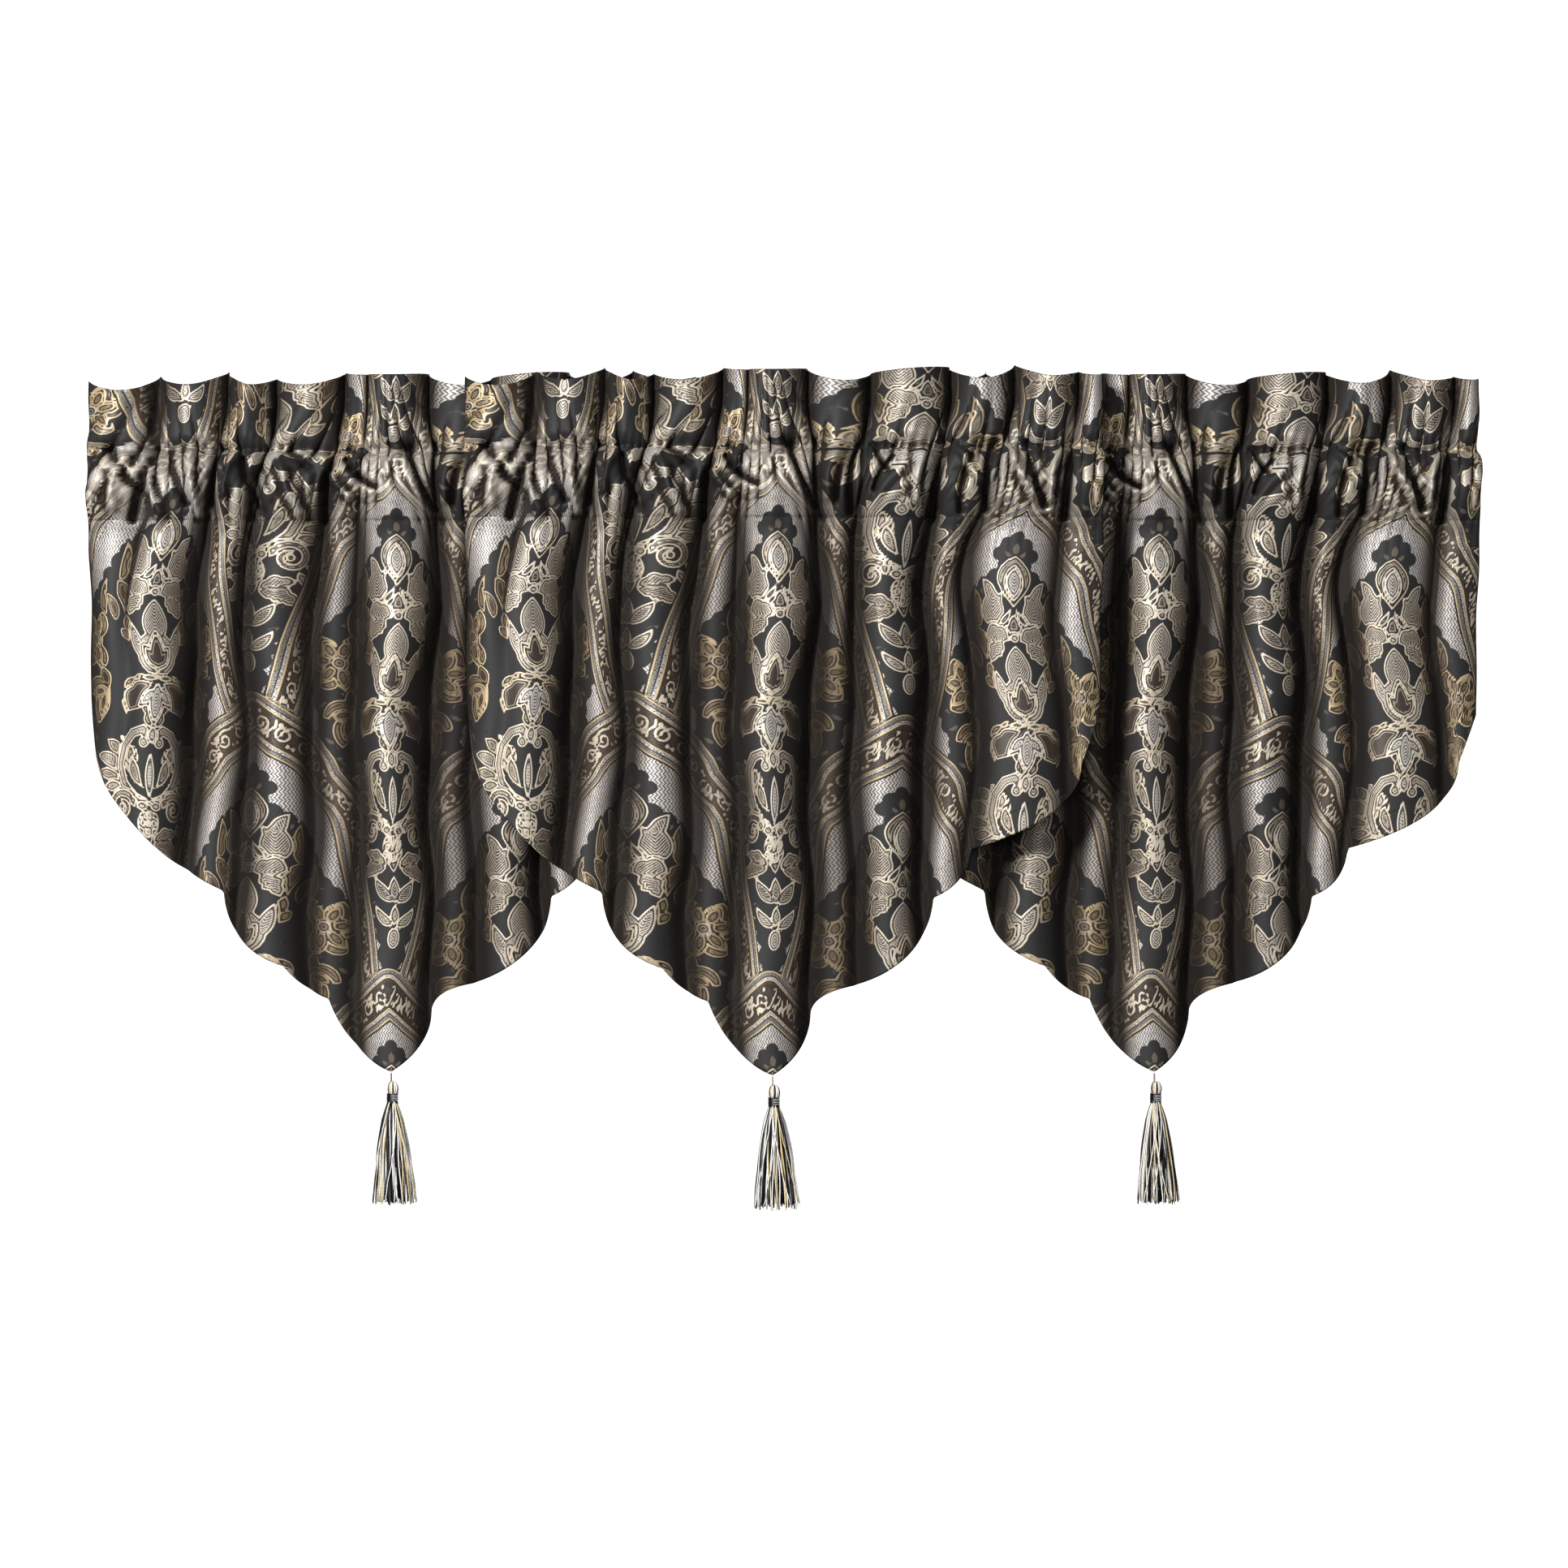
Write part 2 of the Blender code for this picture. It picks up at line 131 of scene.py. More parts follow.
# How far the weave jumps from tent to tent, across and down
TENT_JUMP = (7.0 * MM, 6.0 * MM)
# Depth behind the mean plane from which the troughs are pressed flat, and how much deeper they may go
DEEP_Y = 20 * MM
DEEP_REST = 5 * MM

# Creases of the gathers, from left to right: start and end as x and z, depth and width, all
# in millimetres. A positive depth is a trough, a negative one a ridge.
CREASES = (
    ((-205, -52), (-186, -82), 5, 4), ((-196, -56), (-203, -96), -4, 5), ((-180, -54), (-168, -100), -5, 5),
    ((-172, -50), (-190, -104), 6, 4), ((-160, -56), (-150, -92), 4, 4), ((-146, -54), (-140, -100), -4, 5),
    ((-124, -50), (-133, -92), 7, 5), ((-113, -56), (-121, -86), -4, 4), ((-108, -60), (-96, -98), 5, 4),
    ((-92, -52), (-104, -102), 5, 5), ((-80, -58), (-66, -100), -5, 6), ((-74, -50), (-60, -66), 5, 4),
    ((-52, -58), (-30, -88), -4, 4), ((-40, -46), (-50, -104), 6, 4), ((-34, -60), (-12, -80), 5, 3.5),
    ((-18, -54), (-24, -74), 4, 3.5), ((4, -54), (-2, -70), -3, 4), ((14, -50), (30, -96), 5, 4),
    ((30, -48), (36, -104), 6, 5), ((46, -56), (40, -90), -5, 5), ((60, -50), (56, -100), 6, 4),
    ((74, -52), (84, -70), 4, 3), ((88, -60), (74, -84), 4, 3), ((108, -56), (104, -92), -4, 5),
    ((124, -48), (116, -104), 7, 5), ((134, -52), (150, -78), -4, 4), ((142, -60), (136, -100), 4, 4),
    ((160, -48), (154, -98), 6, 4), ((172, -54), (188, -90), -5, 5), ((184, -50), (196, -96), 5, 4),
    ((206, -56), (200, -92), -4, 4), ((218, -48), (212, -104), 6, 4),
)

VALANCES = (
    dict(name="left", x=-SIDE_SPACING, y=SIDE_SETBACK),
    dict(name="middle", x=0.0, y=0.0),
    dict(name="right", x=SIDE_SPACING, y=SIDE_SETBACK),
)


# The cloth's hanging shape

def at_level(values, z):
    """A fold value at height z: a smooth curve through its five levels, in metres."""
    heights = np.array(LEVEL_Z[::-1])
    known = np.array(values[::-1], float) * MM
    slopes = np.gradient(known, heights)
    place = np.clip(z, heights[0], heights[-1])
    index = np.clip(np.searchsorted(heights, place) - 1, 0, len(heights) - 2)
    step = heights[index + 1] - heights[index]
    t = (place - heights[index]) / step
    start = (2 * t**3 - 3 * t**2 + 1) * known[index] + (t**3 - 2 * t**2 + t) * step * slopes[index]
    end = (3 * t**2 - 2 * t**3) * known[index + 1] + (t**3 - t**2) * step * slopes[index + 1]
    return start + end


def pocket_share(z):
    """0 at both pocket seams and 1 half way between them."""
    share = np.clip((z - POCKET_SEAM_Z) / (HEADING_SEAM_Z - POCKET_SEAM_Z), 0, 1)
    return np.sin(np.pi * share) ** BULGE_ROUNDNESS


def front_share(z):
    """The pocket's bulge on the room side: full at its middle, fading out softly below its seam."""
    share = np.clip((HEADING_SEAM_Z - z) / (HEADING_SEAM_Z - POCKET_SEAM_Z), 0, 1.3)
    upper = np.sin(np.pi * np.minimum(share, 0.5)) ** BULGE_ROUNDNESS
    lower = 0.5 + 0.5 * np.cos(np.pi * (share - 0.5) / 0.8)
    return np.where(share < 0.5, upper, lower)


def column_x(place, z):
    """Where a column of the surface stands at height z, between its two fold lines."""
    index, share = place
    left = at_level(FOLDS[index]["x"], z)
    right = at_level(FOLDS[index + 1]["x"], z)
    return left + (right - left) * share


def fold_y(place, z):
    """The folds alone: the cloth's depth at a column and height, -Y towards the room."""
    index, share = place
    left = at_level(FOLDS[index]["depth"], z)
    right = at_level(FOLDS[index + 1]["depth"], z)
    line = left + (right - left) * share
    rise = at_level(FOLDS[index]["height"], z) + (left + right) / 2
    return line - rise * math.sin(math.pi * share) ** FOLD_ROUNDNESS


def top_z(place):
    """Height of the top edge over a column."""
    index, share = place
    left, right = FOLDS[index]["cusp"], FOLDS[index + 1]["cusp"]
    line = left + (right - left) * share
    dip = FOLDS[index]["dip"] - (left + right) / 2
    return (line + dip * math.sin(math.pi * share) ** TOP_ROUNDNESS) * MM


def hem_outline():
    """Points along the scalloped hem, left to right, as two arrays of x and z."""
    ends = [row["notch"] for row in SCALLOPS[1:]] + [HEM_END]
    share = np.linspace(0, 1, SCALLOP_SAMPLES, endpoint=False)[:, None]
    pieces = []
    for row, end in zip(SCALLOPS, ends):
        start, belly, finish = np.array(row["notch"]), np.array(row["belly"]), np.array(end)
        pieces.append((1 - share) ** 2 * start + 2 * share * (1 - share) * belly + share**2 * finish)
    points = np.vstack(pieces + [np.array([HEM_END])]) * MM
    return points[:, 0], points[:, 1]


def hem_z(place, outline):
    """Where a column meets the hem, found by following the column down step by step."""
    z = outline[1].min() * 0.8
    for _ in range(HEM_ROUNDS):
        z = float(np.interp(column_x(place, np.array(z)), *outline))
    return z


def fine_columns():
    """Columns of the fine surface, closer together where the cloth turns into a fold."""
    level = np.array(-230 * MM)
    places, flats = [], []
    for index in range(len(FOLDS) - 1):
        shares = np.linspace(0, 1, 60)
        xs = np.array([float(column_x((index, s), level)) for s in shares])
        ys = np.array([float(fold_y((index, s), level)) for s in shares])
        length = np.concatenate([[0], np.cumsum(np.hypot(np.diff(xs), np.diff(ys)))])
        steps = max(2, round(length[-1] / ACROSS_PITCH))
        picked = np.interp(np.linspace(0, length[-1], steps, endpoint=False), length, shares)
        places += [(index, float(s)) for s in picked]
        flats += list(np.linspace(FOLDS[index]["flat"], FOLDS[index + 1]["flat"], steps, endpoint=False))
    return places + [(len(FOLDS) - 2, 1.0)], np.array(flats + [FOLDS[-1]["flat"]]) * MM


def softened(values, rounds):
    """values with small corners rounded from column to column, the ends kept."""
    result = values.copy()
    for _ in range(rounds):
        result[1:-1] = (result[:-2] + 2 * result[1:-1] + result[2:]) / 4
    return result


def bell(away, width):
    """A soft bump: 1 where away is 0, near 0 past twice the width."""
    return np.exp(-((away / width) ** 2))


def ramp(value, length):
    """0 below 0, then rising evenly to 1 over the length."""
    return np.clip(value / length, 0, 1)


def seam_height(u):
    """The heading seam's uneven height, drawn up and let down by its gathers."""
    a = u / MM
    return HEADING_SEAM_Z + (1.6 * np.sin(a / 21 + 0.6) + 1.1 * np.sin(a / 8.7 + 2.0)) * MM


def tent_phase(u, z):
    """Running number of the irregular tents that the heading seam draws up: whole in their valleys."""
    a = u / MM
    above = (z - seam_height(u)) / MM
    lean = above * (0.02 * np.sin(a / 33 + 1.2) + 0.014 * np.sin(a / 14))
    return a / TENT_PITCH + 0.5 * np.sin(a / 37 + 0.5) + 0.3 * np.sin(a / 12.3 + 1.7) + lean


def held_by_seam(u, z):
    """1 on the heading seam, falling to 0 above and below it."""
    above = (z - seam_height(u)) / MM
    return np.exp(-np.abs(above) / np.where(above > 0, 20.0, 26.0))


def gathers(u, z):
    """Sharp irregular tents held in the two gathering seams, fading away from them."""
    a = u / MM
    above = (z - seam_height(u)) / MM
    strength = TENT_RELIEF * (1 + 0.4 * np.sin(a / 27 + 1.0))
    relief = strength * held_by_seam(u, z) * (0.62 - np.abs(np.sin(math.pi * tent_phase(u, z))) ** 0.7)
    tight = a / KNOT_PITCH + 0.6 * np.sin(a / 19 + 0.9) + 0.03 * above * np.sin(a / 33 + 1.2)
    knots = np.exp(-np.abs(above) / 9.0)
    relief += KNOT_RELIEF * knots * (0.6 - np.abs(np.sin(math.pi * tight)) ** 0.8)
    relief += 4.5 * bell(above, 4.5)
    pocket = bell(above + 22, 20)
    slant = a / POCKET_PITCH + 0.06 * above * np.sin(a / 24 + 0.4) + 0.6 * np.sin(a / 16.5)
    relief += POCKET_RELIEF * pocket * (0.6 - np.abs(np.sin(math.pi * slant)) ** 0.8)
    below = np.exp(-np.abs(z - POCKET_SEAM_Z) / (11 * MM))
    puckers = 0.7 * np.sin(a / 3.1 + 1.6 * np.sin(a / 29)) + 0.6 * np.sin(a / 5.3 + 2 * np.sin(a / 41))
    relief += below * puckers
    return relief * MM


def drawn_up(u, z, folds):
    """How the gathers hide cloth in their valleys: sideways shift of the cloth and of its weave."""
    held = held_by_seam(u, z)
    turn = 2 * math.pi * tent_phase(u, z)
    sideways = -0.95 * TENT_PITCH / (2 * math.pi) * 0.75 * held * np.sin(turn)
    weave = held * (3.0 * np.cos(turn) + 2.0 * np.sin(u / (9 * MM) + z / (14 * MM)))
    in_heading = ramp(z - POCKET_SEAM_Z, 60 * MM)
    for number, (place, tuck) in enumerate(folds):
        away = (u - place) / MM
        sideways -= 0.4 * (0.5 + 0.5 * tuck) * in_heading * away * bell(away, 12)
        weave += 5.0 * in_heading * bell(away, 8) * math.sin(2.6 * number + 0.5)
    return sideways * MM, weave * MM


def hidden_cloth(u, z):
    """How far the weave jumps from tent to tent, because some cloth is hidden in each valley."""
    tent = np.floor(tent_phase(u, z))
    across = np.sin(tent * 12.9 + 0.7) * np.cos(tent * 4.1)
    down = np.sin(tent * 7.3 + 2.1)
    held = held_by_seam(u, z)
    return TENT_JUMP[0] * across * held, TENT_JUMP[1] * down * held


def taken_up(u, z):
    """Length of cloth that the heading seam's gathers take up, which the heading's weave lacks."""
    above = ramp(z - HEADING_SEAM_Z + 7 * MM, 14 * MM)
    length = 22 + 12 * np.sin(math.pi * u / (REPEAT_WIDE * MM)) ** 2
    return length * MM * above * above * (3 - 2 * above)


def pleats(u, z, folds):
    """Narrow tucks along the fold lines, deep in the heading and fading down the body."""
    below = ramp(POCKET_SEAM_Z - z, 120 * MM)
    in_heading = ramp(z - HEADING_SEAM_Z, 10 * MM)
    relief = np.zeros_like(u)
    for number, (place, tuck) in enumerate(folds):
        depth = (HEADING_TUCK * in_heading + (1 - in_heading) * (2.0 + 3.5 * tuck) * (1 - below)) * MM
        lean = 1.8 * MM * np.sin(z / (27 * MM) + 2.1 * number)
        away = u - place - lean
        relief += depth * (0.55 * bell(away, 3.2 * MM) + 0.3 * bell(away, 9 * MM))
        relief += 5.0 * MM * in_heading * bell(away, 17 * MM)
        relief += 3.5 * MM * tuck * below * bell(away, 11 * MM)
    return relief - 4.0 * MM * in_heading


def creases(x, z):
    """The listed creases as one soft relief, in metres."""
    relief = np.zeros_like(x)
    for start, end, depth, width in CREASES:
        start, end = np.array(start) * MM, np.array(end) * MM
        run = end - start
        length = np.hypot(*run)
        along = ((x - start[0]) * run[0] + (z - start[1]) * run[1]) / length**2
        bend = 2.2 * MM * np.sin(np.pi * np.clip(along, 0, 1))
        across = ((x - start[0]) * run[1] - (z - start[1]) * run[0]) / length - bend
        over = np.maximum(np.maximum(-along, along - 1), 0) * length
        distance = np.hypot(across, over)
        relief += CREASE_STRENGTH * depth * MM * bell(distance, 0.62 * width * MM)
    return relief


def ripples(u, z):
    """Slow unevenness of the hanging body, so that no fold runs ruler straight."""
    a, b = u / MM, z / MM
    wave = 0.9 * np.sin(a / 17 + b / 39) + 0.7 * np.sin(a / 11 - b / 61 + 1.3) + 0.5 * np.sin(b / 23 + a / 53)
    return wave * ramp(POCKET_SEAM_Z - z, 80 * MM) * MM


def cloth_surface():
    """The front surface on a fine grid: x, y, z, then u and v on the flat cloth and the weave's own u."""
    outline = hem_outline()
    places, flats = fine_columns()
    xs, ys, zs = [], [], []
    for place in places:
        hem = hem_z(place, outline)
        z = np.concatenate([
            np.linspace(top_z(place), HEADING_SEAM_Z, HEADING_ROWS, endpoint=False),
            np.linspace(HEADING_SEAM_Z, POCKET_SEAM_Z, POCKET_ROWS, endpoint=False),
            np.linspace(POCKET_SEAM_Z, hem, BODY_ROWS + 1),
        ])
        xs.append(column_x(place, z))
        ys.append(fold_y(place, z))
        zs.append(z)
    x, y, z = (np.array(rows) for rows in (xs, ys, zs))
    y = softened(y, 14)
    u = np.repeat(flats[:, None], x.shape[1], axis=1)
    folds = [(row["flat"] * MM, row["tuck"]) for row in FOLDS[1:-1]]
    near_top = ramp(z - HEADING_SEAM_Z, 50 * MM)
    y = y + gathers(u, z) + creases(x, z) * (1 - near_top) + ripples(u, z) + pleats(u, z, folds)
    y = y - FRONT_BULGE * front_share(z)
    # the deepest troughs are pressed flat, so that they go only a little deeper than the solids'
    over = np.maximum(y - DEEP_Y, 0)
    y = np.minimum(y, DEEP_Y) + DEEP_REST * np.tanh(over / DEEP_REST)
    sideways, weave = drawn_up(u, z, folds)
    x = x + sideways
    loose = ramp(POCKET_SEAM_Z - z, 60 * MM) * ramp(z + 505 * MM, 70 * MM)
    a, b = u / MM, z / MM
    x = x + loose * MM * (2.0 * np.sin(b / 33 + a / 61) + 1.1 * np.sin(b / 17 - a / 29))
    y = y + 0.5 * MM * bell(z - POCKET_SEAM_Z, 1.5 * MM)
    across, down = hidden_cloth(u, z)
    return x, y, z, u, weave + down - z - taken_up(u, z), u + across


# The damask: distances to the drawn shapes, in millimetres of flat cloth

REPEAT_WIDE = 237.0
REPEAT_HIGH = 388.0
BAND_HALF = 16.5
BAND_WAIST = 12.8
# Depth of the middle column's inner apex below the top edge
PATTERN_TOP = 82.0

# Centre line of the strap band: from one medallion's apex, over two shoulders, to the foot of the next
BAND_LINE = ((0, -21), (9, -14), (20, -6), (31, 0), (40, 6), (46, 14), (50, 23), (56, 31), (63, 39), (68, 49),
             (71, 61), (74, 76), (78, 91), (82, 106), (86, 122), (90, 140), (95, 158), (101, 176))


def polyline_distance(px, py, points):
    """Distance to a line of points, the distance along it and the side."""
    best = np.full(px.shape, 1e9)
    along = np.zeros(px.shape)
    side = np.zeros(px.shape)
    run = 0.0
    for (ax, ay), (bx, by) in zip(points[:-1], points[1:]):
        dx, dy = bx - ax, by - ay
        length = math.hypot(dx, dy)
        t = np.clip(((px - ax) * dx + (py - ay) * dy) / length**2, 0, 1)
        d = np.hypot(px - ax - t * dx, py - ay - t * dy)
        closer = d < best
        best = np.where(closer, d, best)
        along = np.where(closer, run + t * length, along)
        side = np.where(closer, np.sign((px - ax) * dy - (py - ay) * dx), side)
        run += length
    return best, along, side


def polygon_distance(px, py, points):
    """Signed distance to a closed outline, positive inside."""
    best = np.full(px.shape, 1e9)
    inside = np.zeros(px.shape, bool)
    for (ax, ay), (bx, by) in zip(points, points[1:] + points[:1]):
        dx, dy = bx - ax, by - ay
        t = np.clip(((px - ax) * dx + (py - ay) * dy) / max(dx * dx + dy * dy, 1e-9), 0, 1)
        best = np.minimum(best, np.hypot(px - ax - t * dx, py - ay - t * dy))
        crosses = (ay > py) != (by > py)
        at = ax + (py - ay) * dx / (dy if abs(dy) > 1e-9 else 1e-9)
        inside ^= crosses & (px < at)
    return np.where(inside, best, -best)


def bent_line(base, tip, bend, samples):
    """Points from base to tip on a curve that bows sideways by bend."""
    (ax, ay), (bx, by) = base, tip
    dx, dy = bx - ax, by - ay
    length = math.hypot(dx, dy)
    nx, ny = -dy / length, dx / length
    points = []
    for number in range(samples + 1):
        t = number / samples
        off = bend * 4 * t * (1 - t)
        points.append((ax + dx * t + nx * off, ay + dy * t + ny * off))
    return points


def leaf_outline(base, tip, width, bend=0.0, belly=0.42, lobes=0, samples=9):
    """A pointed leaf, smooth or with lobed edges: its outline as a closed list of points."""
    samples = max(samples, 5 * lobes)
    spine = bent_line(base, tip, bend, samples)
    left, right = [], []
    power = math.log(0.5) / math.log(belly)
    for number, (x, y) in enumerate(spine):
        t = number / samples
        half = width / 2 * math.sin(math.pi * t**power) ** 0.85
        if lobes:
            half *= 0.82 + 0.3 * abs(math.sin(math.pi * lobes * t))
        before, after = spine[max(number - 1, 0)], spine[min(number + 1, samples)]
        dx, dy = after[0] - before[0], after[1] - before[1]
        size = math.hypot(dx, dy)
        left.append((x - dy / size * half, y + dx / size * half))
        right.append((x + dy / size * half, y - dx / size * half))
    return left + right[-2:0:-1]


def round_outline(centre, across, down, sides=18):
    """Points round an ellipse."""
    return [(centre[0] + across * math.cos(2 * math.pi * k / sides),
             centre[1] + down * math.sin(2 * math.pi * k / sides)) for k in range(sides)]


def leaf(base, tip, width, bend=0.0, belly=0.42, lobes=0):
    """A leaf as one part of a motif."""
    return dict(outline=leaf_outline(base, tip, width, bend, belly, lobes), base=base, tip=tip)


def stroke(points, start_width, end_width):
    """A curling line whose width runs from start_width to end_width."""
    left, right = [], []
    for number, (x, y) in enumerate(points):
        before, after = points[max(number - 1, 0)], points[min(number + 1, len(points) - 1)]
        dx, dy = after[0] - before[0], after[1] - before[1]
        size = math.hypot(dx, dy)
        half = (start_width + (end_width - start_width) * number / (len(points) - 1)) / 2
        left.append((x - dy / size * half, y + dx / size * half))
        right.append((x + dy / size * half, y - dx / size * half))
    return dict(outline=left + right[::-1], base=points[0], tip=points[-1])


def spiral(centre, outer, inner, start, turns, samples=20):
    """Points of a spiral that winds in from radius outer to radius inner."""
    points = []
    for number in range(samples + 1):
        t = number / samples
        angle = start + t * turns * 2 * math.pi
        radius = outer + (inner - outer) * t
        points.append((centre[0] + radius * math.cos(angle), centre[1] + radius * math.sin(angle)))
    return points


def disc(centre, across, down=None):
    """A disc or an ellipse as one part of a motif."""
    down = across if down is None else down
    return dict(outline=round_outline(centre, across, down), base=(centre[0], centre[1] + down),
                tip=(centre[0], centre[1] - down))


